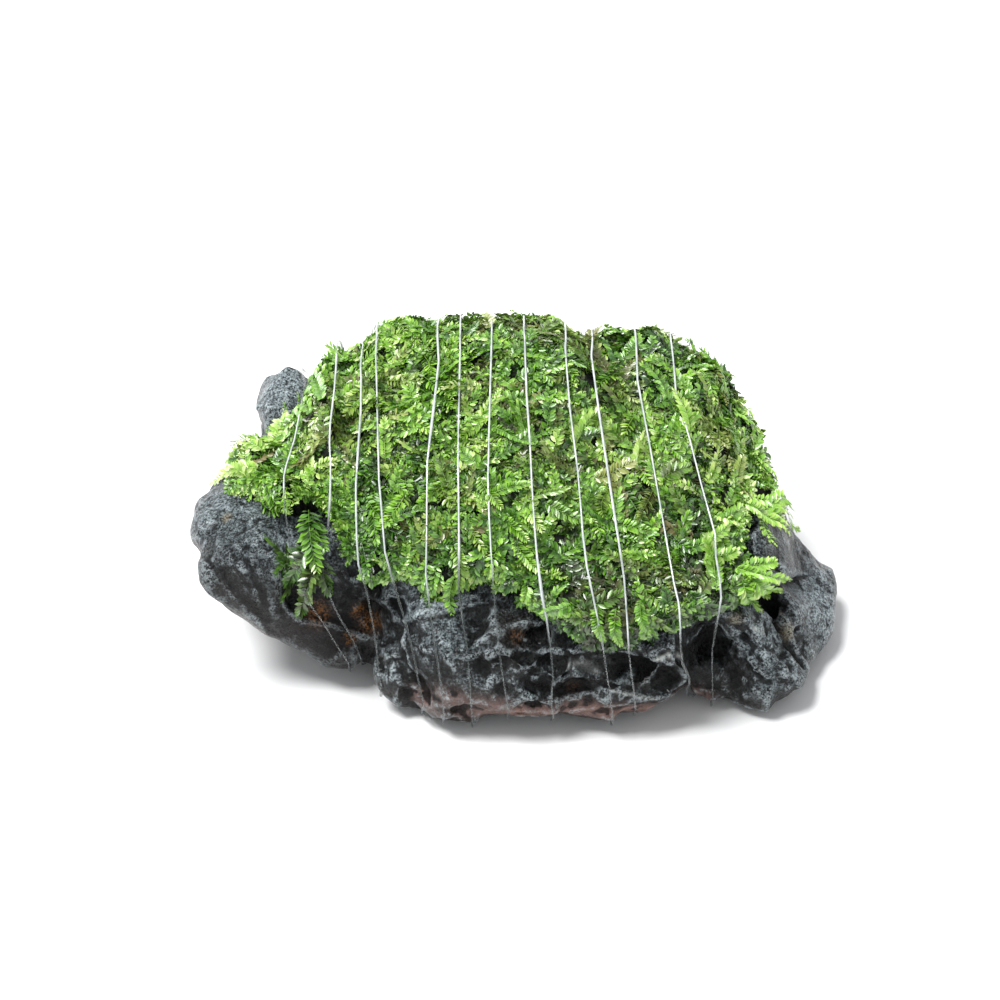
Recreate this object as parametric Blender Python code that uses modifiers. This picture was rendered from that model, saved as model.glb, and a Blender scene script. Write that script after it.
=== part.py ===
"""Willow moss tied on a dark, rugged aquarium stone with clear nylon line.

The stone is one solid of melted lumps with clefts and hollows, and it stands on four low knobs.
The moss mat lies over its top, and one length of line is wound round both.
Sizes below are in millimetres. +X is the stone's length, -Y its front, +Z up.
"""

import math

import bpy
import bmesh
from mathutils import Euler, Matrix, Vector, noise
from mathutils.bvhtree import BVHTree

MM = 0.001

# The stone
VOXEL = 0.7
MELT_STEPS = 3
STONE_TRIANGLES = 4700
UNDERSIDE = 1.15
GROUND = 0.0
KNOB_FLANK = 1.7
KNOB_DEPTH = -0.35

# Each lump: centre, half sizes, turn in degrees, squareness (2 is an ellipsoid, 4 a rounded block)
LUMPS = {
    "core": ((0, 3, 15.5), (36, 23, 16.0), (12, 0, 0), 2.8),
    "crest": ((-4.6, 11, 23.9), (19, 13, 12.2), (12, 2, 0), 2.5),
    "left_lobe": ((-33.0, -6, 14), (16.4, 13, 12), (0, 6, 16), 2.9),
    "left_foot": ((-26.5, -11.4, 8.5), (10, 9.0, 7.5), (0, 0, 10), 2.6),
    "front_lobe": ((6.2, -18.8, 9.2), (23.6, 12, 9.4), (-4, -6, 2), 3.4),
    "front_shelf": ((-6, -16, 15), (12, 9, 5), (0, 0, 0), 2.6),
    "cleft_lobe": ((-13.8, -18.4, 8.0), (7.4, 8.6, 8.2), (0, 0, 0), 2.8),
    "right_lobe": ((35.2, -15.7, 8.2), (9.4, 10.8, 8.6), (0, 8, -14), 2.9),
    "far_right_lobe": ((39.2, -8, 8.8), (9.8, 11.5, 8.8), (0, 16, 0), 2.6),
    "right_shoulder": ((31, 3, 15), (9, 12, 8), (0, 24, 0), 2.5),
    "left_knob": ((-33.6, 18, 19.9), (5.8, 8.5, 9.8), (0, 0, 0), 2.5),
    "back_lobe": ((-6, 16, 13), (22, 12, 12), (-6, 0, 0), 2.8),
    "back_knob": ((17, 15.6, 20.8), (10.5, 9.5, 11.2), (0, 10, 0), 2.5),
}

# Each broken face: a point on it, the way it faces, how far round the point it cuts
FACETS = {
    "left_undercut": ((-36.4, -10, 8.8), (-0.66, -0.22, -0.70), 100),
    "left_end": ((-48.1, 0, 18), (-0.97, -0.2, 0.1), 100),
    "left_lobe_top": ((-40, -6, 25.0), (-0.25, -0.10, 0.96), 100),
    "front_slope": ((0, -14, 26.5), (0.02, -0.50, 0.87), 100),
    "front_face": ((5, -30.6, 10), (0.03, -0.99, -0.14), 100),
    "front_bevel": ((8, -28.4, 3.3), (0.05, -0.74, -0.67), 30),
    "front_left_face": ((-12.6, -27.6, 9.5), (-0.52, -0.84, 0.12), 11),
    "front_tip": ((24.8, -28.2, 8), (0.62, -0.78, 0.0), 9),
    "right_lobe_front": ((35.5, -25.2, 8), (0.05, -0.92, 0.38), 12),
    "right_lobe_left": ((31.0, -23.4, 7), (-0.66, -0.74, 0.08), 9),
    "right_lobe_side": ((42.6, -20.5, 8), (0.93, -0.30, 0.18), 9),
    "far_right_top": ((43.5, -8, 16.5), (0.55, -0.20, 0.81), 14),
    "right_slope": ((31.5, 0, 21.5), (0.68, -0.16, 0.71), 100),
    "back_slope": ((0, 25, 20), (0.0, 0.95, 0.3), 100),
}

# Each hollow: centre of the ball that dents the stone, its radius
HOLLOWS = {
    "left_niche": ((-28.2, -22.4, 18.0), 6.8),
    "left_niche_low": ((-22.8, -23.6, 14.0), 6.4),
    "left_cleft": ((-24.2, -28.4, 6), 6.4),
    "right_cleft": ((28.0, -30.5, 7), 6.4),
    "right_gap": ((27.6, -26.4, 15), 6.0),
    "shelf_dip": ((2, -29.5, 19.5), 5.0),
    "top_pit": ((3.2, -26.8, 17.6), 2.9),
    "top_pit_right": ((6.6, -28.4, 18.6), 2.7),
    "big_pit": ((21.8, -31.2, 10.9), 3.9),
    "low_pit": ((2.6, -31.8, 5.6), 3.3),
    "mid_pit": ((8.6, -31.8, 9.0), 3.3),
    "far_right_pit": ((44, -12, 18), 4.5),
    "right_recess": ((37.2, -16.6, 16.2), 3.6),
    "base_gap": ((32, -34, -3), 6.0),
}

# Each seam: the points of its line, its half width, its depth
SEAMS = {
    "left_to_cleft": (((-20.6, -18.0, 19), (-20.8, -18.6, 14), (-20.4, -19, 9), (-20.2, -20.4, 4)), 2.3, 2.8),
    "cleft_to_front": (((-17.4, -20, 16.4), (-16.6, -23, 12), (-15.0, -26, 8), (-11, -28.0, 4)), 1.9, 2.2),
    "front_band": (((-1, -27.4, 14), (6.2, -29.6, 13.6), (12, -29.8, 12.8), (17.5, -29.6, 13)), 2.4, 1.9),
    "front_to_right": (((27.4, -20, 18), (27.6, -22.5, 13), (27.8, -23, 8), (28, -22, 3)), 3.2, 4.2),
    "right_to_far": (((38.6, -14, 16), (41.5, -17.5, 11), (43, -18, 6)), 1.8, 2.0),
    "left_scar": (((-36, -17, 20), (-35.4, -18, 15), (-34.2, -17.5, 10)), 1.8, 0.8),
}
CHIP_SIZE = 7.5

# Where the stone stands: centre in plan, half width at the ground
KNOBS = {
    "front_left": (-16.8, -15.0, 1.6),
    "front_right": (9.6, -20.0, 2.0),
    "back_left": (-16.0, 15.0, 2.0),
    "back_right": (20.6, 12.0, 1.4),
}

# The moss mat lies on the stone in a band about a line along X. Angle 0 faces the front and 90 up.
MAT_AXIS_Y = -2.0
MAT_AXIS_Z = 8.0
MAT_COLUMNS = 38
MAT_ROWS = 17
MAT_GAP = 0.35
MAT_THICKNESS = 3.5
MAT_RIM_THICKNESS = 1.1
MAT_RIM_WIDTH = 3.0
MAT_LUMP = 0.75
GROOVE_DEPTH = 0.8
GROOVE_WIDTH = 1.1

# The mat's two rims: place along X, front rim's angle, back rim's angle
MAT_RIMS = (
    (-42.5, 84, 100),
    (-40.5, 78, 112),
    (-38.0, 76, 117),
    (-36.5, 75, 118),
    (-33.5, 66, 114),
    (-31.5, 50, 113),
    (-30.3, 44, 115),
    (-29.2, 24, 121),
    (-27.0, 23, 134),
    (-25.8, 42, 148),
    (-22.9, 41, 152),
    (-20.5, 32, 152),
    (-17.0, 40, 152),
    (-10.7, 29, 153),
    (-5.0, 39, 153),
    (0.6, 29, 153),
    (5.0, 25, 152),
    (10.0, 19, 152),
    (15.0, 18, 151),
    (20.0, 22, 150),
    (24.0, 24, 148),
    (28.5, 25, 146),
    (32.0, 28, 140),
    (36.0, 31, 132),
    (39.0, 33, 118),
    (41.0, 36, 96),
)

# Each turn of the line: its place along X on top, down the front slope, at the front's foot
TURNS = (
    (-31.7, -33.4, -24.1),
    (-25.9, -27.6, -22.0),
    (-22.8, -22.9, -19.9),
    (-20.3, -18.8, -13.7),
    (-11.4, -13.3, -10.4),
    (-8.0, -8.4, -6.2),
    (-3.4, -4.4, -1.1),
    (1.4, 2.7, 5.3),
    (7.4, 9.2, 14.0),
    (11.4, 14.0, 17.1),
    (17.8, 21.2, 25.4),
    (23.4, 29.0, 28.4),
)
LINE_RADIUS = 0.15
LINE_GAP = 0.3
LINE_STEP = 20
LINE_START = 230
LINE_END = -110
LINE_SIGHT = 100
LEAST_RUN = 0.8
LINE_TAIL = 27.5
LOWEST_WRAP = 1.0


def in_metres(values):
    """A point in metres from its millimetres."""
    return Vector(values) * MM


def finished(name, mesh, colour, roughness, metallic=0.0):
    """Puts a mesh in the model's collection under that name, with its material."""
    material = bpy.data.materials.new(name)
    material.use_nodes = True
    shader = material.node_tree.nodes["Principled BSDF"]
    shader.inputs["Base Color"].default_value = (*colour, 1.0)
    shader.inputs["Roughness"].default_value = roughness
    shader.inputs["Metallic"].default_value = metallic
    mesh.materials.clear()
    mesh.materials.append(material)
    mesh.shade_smooth()
    obj = bpy.data.objects.new(name, mesh)
    model.objects.link(obj)
    return obj


def evaluated_mesh(obj):
    """The object's mesh with its modifiers and its place applied. The object is removed."""
    bpy.context.view_layer.update()
    graph = bpy.context.evaluated_depsgraph_get()
    mesh = bpy.data.meshes.new_from_object(obj.evaluated_get(graph))
    mesh.transform(obj.matrix_world)
    bpy.data.objects.remove(obj)
    return mesh


def add_lump(centre, half_sizes, turn, squareness):
    """One rounded lump of stone, between an ellipsoid and a block."""
    bpy.ops.mesh.primitive_ico_sphere_add(subdivisions=5, radius=1.0)
    lump = bpy.context.object
    for vertex in lump.data.vertices:
        bulk = sum(abs(c) ** squareness for c in vertex.co) ** (1 / squareness)
        vertex.co = Vector(c / bulk * h * MM for c, h in zip(vertex.co, half_sizes))
    lump.rotation_euler = Euler([math.radians(a) for a in turn])
    lump.location = in_metres(centre)
    return lump


def one_skin(obj, voxel, smoothing):
    """The object's mesh as one outer skin, a little smoothed. The object is removed."""
    skin = obj.modifiers.new("Skin", "REMESH")
    skin.mode = "VOXEL"
    skin.voxel_size = voxel * MM
    melt = obj.modifiers.new("Melt", "SMOOTH")
    melt.factor = 0.5
    melt.iterations = smoothing
    return evaluated_mesh(obj)


def melted_lumps():
    """All lumps joined in one skin, with softened joints."""
    lumps = [add_lump(*lump) for lump in LUMPS.values()]
    bpy.ops.object.select_all(action="DESELECT")
    for lump in lumps:
        lump.select_set(True)
    bpy.context.view_layer.objects.active = lumps[0]
    bpy.ops.object.join()
    return one_skin(bpy.context.object, VOXEL, MELT_STEPS)


def press_hollows(shape):
    """Dents the skin with a ball for each hollow."""
    for centre, radius in HOLLOWS.values():
        middle = in_metres(centre)
        for vertex in shape.verts:
            away = vertex.co - middle
            rough_radius = radius * MM * (1 + 0.30 * noise.noise(vertex.co / MM / 4.0))
            if 0 < away.length < rough_radius:
                vertex.co = middle + away.normalized() * rough_radius


def break_faces(shape):
    """Flattens what stands beyond each broken face, and keeps a little of its swell."""
    for point, facing, reach in FACETS.values():
        at = in_metres(point)
        normal = Vector(facing).normalized()
        for vertex in shape.verts:
            beyond = (vertex.co - at).dot(normal)
            if beyond > 0 and (vertex.co - at).length < reach * MM:
                vertex.co -= normal * beyond * 0.85


def distance_to_line(place, corners):
    """How far a place is from a line of corners."""
    nearest = 1.0
    for a, b in zip(corners, corners[1:]):
        run = b - a
        share = max(0.0, min(1.0, (place - a).dot(run) / run.length_squared))
        nearest = min(nearest, (place - a - run * share).length)
    return nearest


def sink_seams(shape):
    """Sinks a rounded groove along each seam."""
    shape.normal_update()
    for points, half_width, depth in SEAMS.values():
        corners = [in_metres(p) for p in points]
        for vertex in shape.verts:
            away = distance_to_line(vertex.co, corners) / MM / half_width
            if away < 1:
                vertex.co -= vertex.normal * depth * MM * (1 - away * away) ** 2


def warped(at, size, amount):
    """A place moved a little, by soft noise of that size."""
    lanes = (Vector((0, 0, 0)), Vector((31.4, 0, 0)), Vector((0, 47.2, 0)))
    return at + amount * Vector([noise.noise(at / size + lane) for lane in lanes])


def chip(at, size):
    """The height at a place of flat chips of that size, each tilted its own way."""
    middle = noise.voronoi(at / size)[1][0]
    tilt = noise.cell_vector(middle * 31.0) - Vector((0.5, 0.5, 0.5))
    return (at / size - middle).dot(tilt) * size


def roughen(shape):
    """Breaks the skin into facets, ridges and pits, coarse ones first."""
    shape.normal_update()
    moves = []
    for vertex in shape.verts:
        at = vertex.co / MM
        swell = 1.0 * noise.fractal(at / 14.0, 1.0, 2.0, 2)
        facet = 0.48 * chip(warped(at, 5.0, 1.4), CHIP_SIZE)
        ridge = 0.45 * (noise.ridged_multi_fractal(at / 8.0, 1.0, 2.1, 3, 0.9, 1.8) - 1.1)
        grain = 0.3 * noise.fractal(at / 2.4, 0.9, 2.0, 2)
        moves.append(vertex.normal * (swell + facet + ridge + grain) * MM)
    for vertex, move in zip(shape.verts, moves):
        vertex.co += move


def stand_on_knobs(shape):
    """Lifts the underside clear of the ground, and lets four low knobs down to it."""
    for vertex in shape.verts:
        x, y, z = vertex.co / MM
        reach = max(
            1.0 - (math.hypot(x - kx, y - ky) / (half + KNOB_FLANK)) ** 2
            for kx, ky, half in KNOBS.values()
        )
        if z < 7.0:
            floor = UNDERSIDE + 0.25 * (1 + noise.noise(Vector((x, y, 0)) / 6.0))
            lifted = max(z, floor)
            share = max(0.0, min(1.0, reach * 2.2))
            share *= share * (3 - 2 * share) * max(0.0, min(1.0, (5.0 - z) / 2.0))
            z = lifted + (KNOB_DEPTH - lifted) * share
        vertex.co.z = z * MM


def cut_at_ground(shape):
    """Wears the knobs flat at the ground."""
    cut = bmesh.ops.bisect_plane(
        shape,
        geom=shape.verts[:] + shape.edges[:] + shape.faces[:],
        plane_co=(0, 0, GROUND),
        plane_no=(0, 0, -1),
        clear_outer=True,
    )
    rim = [e for e in cut["geom_cut"] if isinstance(e, bmesh.types.BMEdge)]
    bmesh.ops.contextual_create(shape, geom=rim)
    open_edges = [e for e in shape.edges if e.is_boundary]
    if open_edges:
        bmesh.ops.holes_fill(shape, edges=open_edges, sides=0)


def build_stone():
    """The whole stone, thinned to its triangle count."""
    mesh = melted_lumps()
    shape = bmesh.new()
    shape.from_mesh(mesh)
    break_faces(shape)
    roughen(shape)
    sink_seams(shape)
    press_hollows(shape)
    shape.to_mesh(mesh)
    shape.free()
    rough = bpy.data.objects.new("rough", mesh)
    model.objects.link(rough)
    mesh = one_skin(rough, VOXEL, 1)
    shape = bmesh.new()
    shape.from_mesh(mesh)
    stand_on_knobs(shape)
    shape.to_mesh(mesh)
    shape.free()
    rough = bpy.data.objects.new("rough", mesh)
    model.objects.link(rough)
    thin = rough.modifiers.new("Thin", "DECIMATE")
    mesh.calc_loop_triangles()
    thin.ratio = STONE_TRIANGLES / len(mesh.loop_triangles)
    thinned = evaluated_mesh(rough)
    shape = bmesh.new()
    shape.from_mesh(thinned)
    cut_at_ground(shape)
    bmesh.ops.triangulate(shape, faces=shape.faces[:])
    shape.to_mesh(thinned)
    shape.free()
    return finished("stone", thinned, (0.085, 0.095, 0.10), 0.7)


def between(table, at, column):
    """The table's value in that column, straight between its rows."""
    for lower, upper in zip(table, table[1:]):
        if at <= upper[0]:
            share = max(0.0, (at - lower[0]) / (upper[0] - lower[0]))
            return lower[column] + (upper[column] - lower[column]) * share
    return table[-1][column]


def around(angle):
    """The direction at that angle about the mat's line, square to X."""
    turn = math.radians(angle)
    return Vector((0.0, -math.cos(turn), math.sin(turn)))


def stone_reach(tree, x, angle):
    """How far the stone reaches from the mat's line at that place, in millimetres."""
    middle = in_metres((x, MAT_AXIS_Y, MAT_AXIS_Z))
    out = around(angle)
    far = 60.0
    hit = tree.ray_cast(middle + out * far * MM, -out)
    if hit[0] is None:
        return 0.0
    return far - hit[3] / MM


def turn_place(turn, angle):
    """A turn's place along X at that angle; past the foot it runs under to the next turn's back."""
    if not 0 <= turn < len(TURNS):
        return TURNS[0][0] if turn < 0 else LINE_TAIL
    top, slope, foot = TURNS[turn]
    following = TURNS[turn + 1][0] if turn + 1 < len(TURNS) else LINE_TAIL
    stations = ((-180, following), (-150, following), (-30, foot), (0, foot), (50, slope), (95, top))
    return between(stations, angle, 1)


def winding_place(angle):
    """The line's place along X at an angle counted on over all turns, downwards from the first."""
    turn = math.ceil((-180 - angle) / 360)
    return turn_place(turn, angle + 360 * turn)


def groove(x, angle):
    """How deep the line presses into the mat there."""
    deep = 0.0
    for turn in range(len(TURNS)):
        off = (x - turn_place(turn, angle)) / GROOVE_WIDTH
        deep = max(deep, GROOVE_DEPTH * math.exp(-off * off))
    return deep


def build_mat(tree):
    """The moss mat: a lumpy closed blanket over the stone, thin at its rims."""
    first, last = MAT_RIMS[0][0], MAT_RIMS[-1][0]
    places = [first + (last - first) * c / MAT_COLUMNS for c in range(MAT_COLUMNS + 1)]
    width = places[1] - places[0]
    fine = 3
    mesh = bpy.data.meshes.new("moss_mat")
    shape = bmesh.new()
    lower, upper = [], []
    angles = []
    for x in places:
        front = between(MAT_RIMS, x, 1)
        back = between(MAT_RIMS, x, 2)
        angles.append([front + (back - front) * r / MAT_ROWS for r in range(MAT_ROWS + 1)])
    for c, x in enumerate(places):
        low_row, high_row = [], []
        for r, angle in enumerate(angles[c]):
            beside = [
                angles[i][j]
                for i in (max(c - 1, 0), c, min(c + 1, MAT_COLUMNS))
                for j in (max(r - 1, 0), r, min(r + 1, MAT_ROWS))
            ]
            steps = max(4, math.ceil((max(beside) - min(beside)) / 1.5))
            reach = max(
                stone_reach(tree, x + width * i / fine, min(beside) + (max(beside) - min(beside)) * j / steps)
                for i in range(-fine, fine + 1)
                for j in range(steps + 1)
            )
            reach += MAT_GAP
            arc = math.radians(angles[c][-1] - angles[c][0]) / MAT_ROWS * reach
            inwards = min(r * arc, (MAT_ROWS - r) * arc, c * width, (MAT_COLUMNS - c) * width)
            edge = min(1.0, inwards / MAT_RIM_WIDTH)
            edge = math.sqrt(edge * (2 - edge))
            out = around(angle)
            spot = Vector((x, 0, 0)) + out * reach
            lump = MAT_LUMP * (noise.noise(spot / 3.1) + 0.6 * noise.noise(spot / 7.0))
            thick = MAT_THICKNESS + lump - groove(x, angle)
            thick = MAT_RIM_THICKNESS + (thick - MAT_RIM_THICKNESS) * edge
            middle = Vector((x, MAT_AXIS_Y, MAT_AXIS_Z))
            low_row.append(shape.verts.new((middle + out * reach) * MM))
            high_row.append(shape.verts.new((middle + out * (reach + thick)) * MM))
        lower.append(low_row)
        upper.append(high_row)
    for c in range(MAT_COLUMNS):
        for r in range(MAT_ROWS):
            shape.faces.new((upper[c][r], upper[c + 1][r], upper[c + 1][r + 1], upper[c][r + 1]))
            shape.faces.new((lower[c][r], lower[c][r + 1], lower[c + 1][r + 1], lower[c + 1][r]))
        shape.faces.new((upper[c][0], lower[c][0], lower[c + 1][0], upper[c + 1][0]))
        shape.faces.new((upper[c][-1], upper[c + 1][-1], lower[c + 1][-1], lower[c][-1]))
    for r in range(MAT_ROWS):
        shape.faces.new((upper[0][r], upper[0][r + 1], lower[0][r + 1], lower[0][r]))
        shape.faces.new((upper[-1][r], lower[-1][r], lower[-1][r + 1], upper[-1][r + 1]))
    bmesh.ops.triangulate(shape, faces=shape.faces[:])
    bmesh.ops.recalc_face_normals(shape, faces=shape.faces[:])
    shape.to_mesh(mesh)
    shape.free()
    return finished("moss_mat", mesh, (0.10, 0.22, 0.04), 0.8)


def line_path(points):
    """The wound line's corners, from its tucked first end to its last, taut over the points."""
    turned = [math.degrees(math.atan2(p.z - MAT_AXIS_Z, MAT_AXIS_Y - p.y)) for p in points]
    supports = []
    for step in range(LINE_START, LINE_END - 360 * (len(TURNS) - 1) - 1, -LINE_STEP):
        out = around(step)
        height = -1000.0
        for p, own in zip(points, turned):
            angle = own + 360 * round((step - own) / 360)
            if abs(angle - step) < LINE_SIGHT and abs(p.x - winding_place(angle)) < 1.0:
                height = max(height, p.dot(out))
        supports.append((step, out, height + LINE_GAP + LINE_RADIUS))
    corners = []
    for (step, out1, h1), (_, out2, h2) in zip(supports, supports[1:]):
        cross = out1.y * out2.z - out1.z * out2.y
        y = (h1 * out2.z - h2 * out1.z) / cross
        z = (h2 * out1.y - h1 * out2.y) / cross
        own = math.degrees(math.atan2(z - MAT_AXIS_Z, MAT_AXIS_Y - y))
        corner = Vector((winding_place(own + 360 * round((step - own) / 360)), y, z))
        if not corners or (corner - corners[-1]).dot(out1.cross(Vector((-1, 0, 0)))) > LEAST_RUN:
            corners.append(corner)
    return corners


def build_line():
    """The clear line, wound round the stone and the mat in one length."""
    points = []
    for piece in (stone, moss_mat):
        places = [v.co / MM for v in piece.data.vertices]
        points += [p for p in places if p.z > LOWEST_WRAP]
        for edge in piece.data.edges:
            a, b = (places[i] for i in edge.vertices)
            parts = int((b - a).length / 1.0)
            spread = [a.lerp(b, k / (parts + 1)) for k in range(1, parts + 1)]
            points += [p for p in spread if p.z > LOWEST_WRAP]
    path = line_path(points)
    curve = bpy.data.curves.new("binding_line", "CURVE")
    curve.dimensions = "3D"
    curve.bevel_depth = LINE_RADIUS * MM
    curve.bevel_resolution = 1
    curve.use_fill_caps = True
    run = curve.splines.new("POLY")
    run.points.add(len(path) - 1)
    for point, place in zip(run.points, path):
        point.co = (*(place * MM), 1.0)
    wound = bpy.data.objects.new("wound", curve)
    model.objects.link(wound)
    mesh = evaluated_mesh(wound)
    shape = bmesh.new()
    shape.from_mesh(mesh)
    bmesh.ops.remove_doubles(shape, verts=shape.verts[:], dist=0.00001)
    bmesh.ops.triangulate(shape, faces=shape.faces[:])
    bmesh.ops.recalc_face_normals(shape, faces=shape.faces[:])
    shape.to_mesh(mesh)
    shape.free()
    return finished("binding_line", mesh, (0.80, 0.84, 0.86), 0.15)


def centre_model(pieces):
    """Moves everything so that the origin is under the middle of the whole."""
    corners = [v.co for piece in pieces for v in piece.data.vertices]
    low = [min(c[i] for c in corners) for i in range(3)]
    high = [max(c[i] for c in corners) for i in range(3)]
    shift = Vector((-(low[0] + high[0]) / 2, -(low[1] + high[1]) / 2, -low[2]))
    for piece in pieces:
        piece.data.transform(Matrix.Translation(shift))
    return shift


for old in list(bpy.data.objects):
    bpy.data.objects.remove(old)
model = bpy.data.collections.new("willow_moss_on_stone")
bpy.context.scene.collection.children.link(model)
stone = build_stone()
stone_skin = bmesh.new()
stone_skin.from_mesh(stone.data)
moss_mat = build_mat(BVHTree.FromBMesh(stone_skin))
stone_skin.free()
binding_line = build_line()
centre_shift = centre_model((stone, moss_mat, binding_line))
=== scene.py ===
"""Willow moss bound on a rugged dark aquarium stone with clear line: the dressed model.

The stone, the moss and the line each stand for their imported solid. The moss is a dark underlayer
with feathered fronds on it, and every frond is a stem with two rows of small cupped leaves.
Lengths are in metres, and names that end in _mm or _px say so. A place on the mat is given by X and
by an angle in degrees about a line through the stone, where 0 faces the front and 90 is up.
"""
import logging
import math
from dataclasses import dataclass, field
from enum import Enum

import bmesh
import bpy
import numpy as np
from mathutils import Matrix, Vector, noise
from mathutils.bvhtree import BVHTree


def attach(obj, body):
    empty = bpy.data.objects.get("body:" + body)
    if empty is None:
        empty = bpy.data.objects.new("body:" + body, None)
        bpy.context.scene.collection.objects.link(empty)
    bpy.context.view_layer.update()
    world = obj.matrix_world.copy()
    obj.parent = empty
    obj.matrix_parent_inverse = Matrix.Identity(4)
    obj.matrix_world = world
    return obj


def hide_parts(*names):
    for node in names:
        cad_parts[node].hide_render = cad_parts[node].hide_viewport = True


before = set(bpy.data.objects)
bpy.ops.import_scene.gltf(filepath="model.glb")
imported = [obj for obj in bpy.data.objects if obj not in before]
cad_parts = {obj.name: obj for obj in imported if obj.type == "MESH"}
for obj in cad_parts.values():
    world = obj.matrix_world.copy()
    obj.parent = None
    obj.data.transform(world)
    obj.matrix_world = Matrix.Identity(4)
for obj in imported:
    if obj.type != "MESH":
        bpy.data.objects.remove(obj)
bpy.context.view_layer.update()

MM = 0.001
MERGED = 1e-6
log = logging.getLogger("willow_moss_on_stone")

Pixel = tuple[float, float]
Path = tuple[Pixel, ...]
Span = tuple[float, float]
Colour = tuple[float, ...]


def linear(*shares: int) -> Colour:
    """A screen colour of 0 to 255 as the linear colour, with full alpha, that a shader takes."""
    screen = [share / 255 for share in shares]
    return (*(s / 12.92 if s <= 0.04045 else ((s + 0.055) / 1.055) ** 2.4 for s in screen), 1.0)


class Layer(Enum):
    """How deep in the mat a frond lies."""

    DEEP = "deep"
    MIDDLE = "middle"
    TOP = "top"
    RIM = "rim"
    COMBED = "combed"
    CREST = "crest"


class Tone(Enum):
    """A colour painted on the stone in places: its own tones, and painted sheen, reflection, highlights
    and shade. The value is where it is stored on the mesh.
    """

    # Brownish tone, and painted shade on low downward faces.
    BROWN = ("washes", 0)
    RUST = ("washes", 1)
    TAN = ("washes", 2)
    # Pale mineral, and painted highlights along ridges.
    PALE_AND_HIGHLIGHT = ("washes", 3)
    # Painted sheen.
    BLUE = ("tones", 0)
    # Painted reflection.
    ROSY_REFLECTION = ("tones", 1)
    # Painted shade.
    DARK = ("tones", 2)


@dataclass(frozen=True)
class Viewpoint:
    """Where the photograph was taken from, and how its pixels look into the scene."""

    elevation: float = 38.0
    distance: float = 0.450
    focal_px: float = 3060.0
    frame_px: int = 1000
    sensor_mm: float = 36.0
    nearest: float = 0.01
    target: tuple[float, float, float] = (-0.00275, 0.00094, 0.0203)

    def back(self) -> Vector:
        """The direction from the target to the eye."""
        tilt = math.radians(self.elevation)
        return Vector((0.0, -math.cos(tilt), math.sin(tilt)))

    def up(self) -> tuple[float, float, float]:
        """The direction that is up in the photograph."""
        tilt = math.radians(self.elevation)
        return (0.0, math.sin(tilt), math.cos(tilt))

    def eye(self) -> Vector:
        """The place of the lens."""
        return Vector(self.target) + self.back() * self.distance

    def look(self, px: float, py: float) -> Vector:
        """The direction of sight through a pixel.

        Args:
            px: pixels from the left.
            py: pixels from the top.

        Returns:
            The direction, of length 1.
        """
        half = self.frame_px / 2
        sight = -self.back() * self.focal_px + Vector((px - half, 0.0, 0.0))
        return (sight + Vector(self.up()) * (half - py)).normalized()

    def project(self, places: np.ndarray) -> np.ndarray:
        """The pixels at which points show.

        Args:
            places: the points.

        Returns:
            Pixels from the left and from the top.
        """
        away = places - np.array(self.eye())
        ahead = away @ -np.array(self.back())
        half = self.frame_px / 2
        down = half - away @ np.array(self.up()) / ahead * self.focal_px
        return np.stack([half + away[:, 0] / ahead * self.focal_px, down], 1)

    def make_camera(self) -> None:
        """Puts the camera at the eye and makes it the scene's own."""
        data = bpy.data.cameras.new("photo_camera")
        data.sensor_width = self.sensor_mm
        data.lens = self.focal_px / self.frame_px * data.sensor_width
        data.clip_start = self.nearest
        camera = linked("photo_camera", data)
        camera.location = self.eye()
        camera.rotation_mode = "QUATERNION"
        camera.rotation_quaternion = (-self.back()).to_track_quat("-Z", "Y")
        bpy.context.scene.camera = camera


class Wire:
    """A shader value that takes part in Python expressions."""

    def __init__(self, desk: "ShaderDesk", socket: bpy.types.NodeSocket) -> None:
        """Wraps a socket of the desk's material."""
        self.desk = desk
        self.socket = socket

    def _maths(self, operation: str, *values: object) -> "Wire":
        """Adds a Math node of that operation on the values."""
        return self.desk.node("ShaderNodeMath", {"operation": operation}, dict(enumerate(values)))

    def __add__(self, other: object) -> "Wire":
        """The sum."""
        return self._maths("ADD", self, other)

    def __sub__(self, other: object) -> "Wire":
        """The difference."""
        return self._maths("SUBTRACT", self, other)

    def __rsub__(self, other: object) -> "Wire":
        """The difference, taken from the other value."""
        return self._maths("SUBTRACT", other, self)

    def __mul__(self, other: object) -> "Wire":
        """The product."""
        return self._maths("MULTIPLY", self, other)

    __radd__ = __add__
    __rmul__ = __mul__

    def clamped(self) -> "Wire":
        """The value held between 0 and 1."""
        return self.desk.node("ShaderNodeClamp", {}, {"Value": self})

    def ramp(self, low: float, high: float) -> "Wire":
        """The value's smooth rise, from 0 where it is low to 1 where it is high."""
        values = {"Value": self, "From Min": low, "From Max": high}
        return self.desk.node("ShaderNodeMapRange", {"interpolation_type": "SMOOTHSTEP"}, values)


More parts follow.
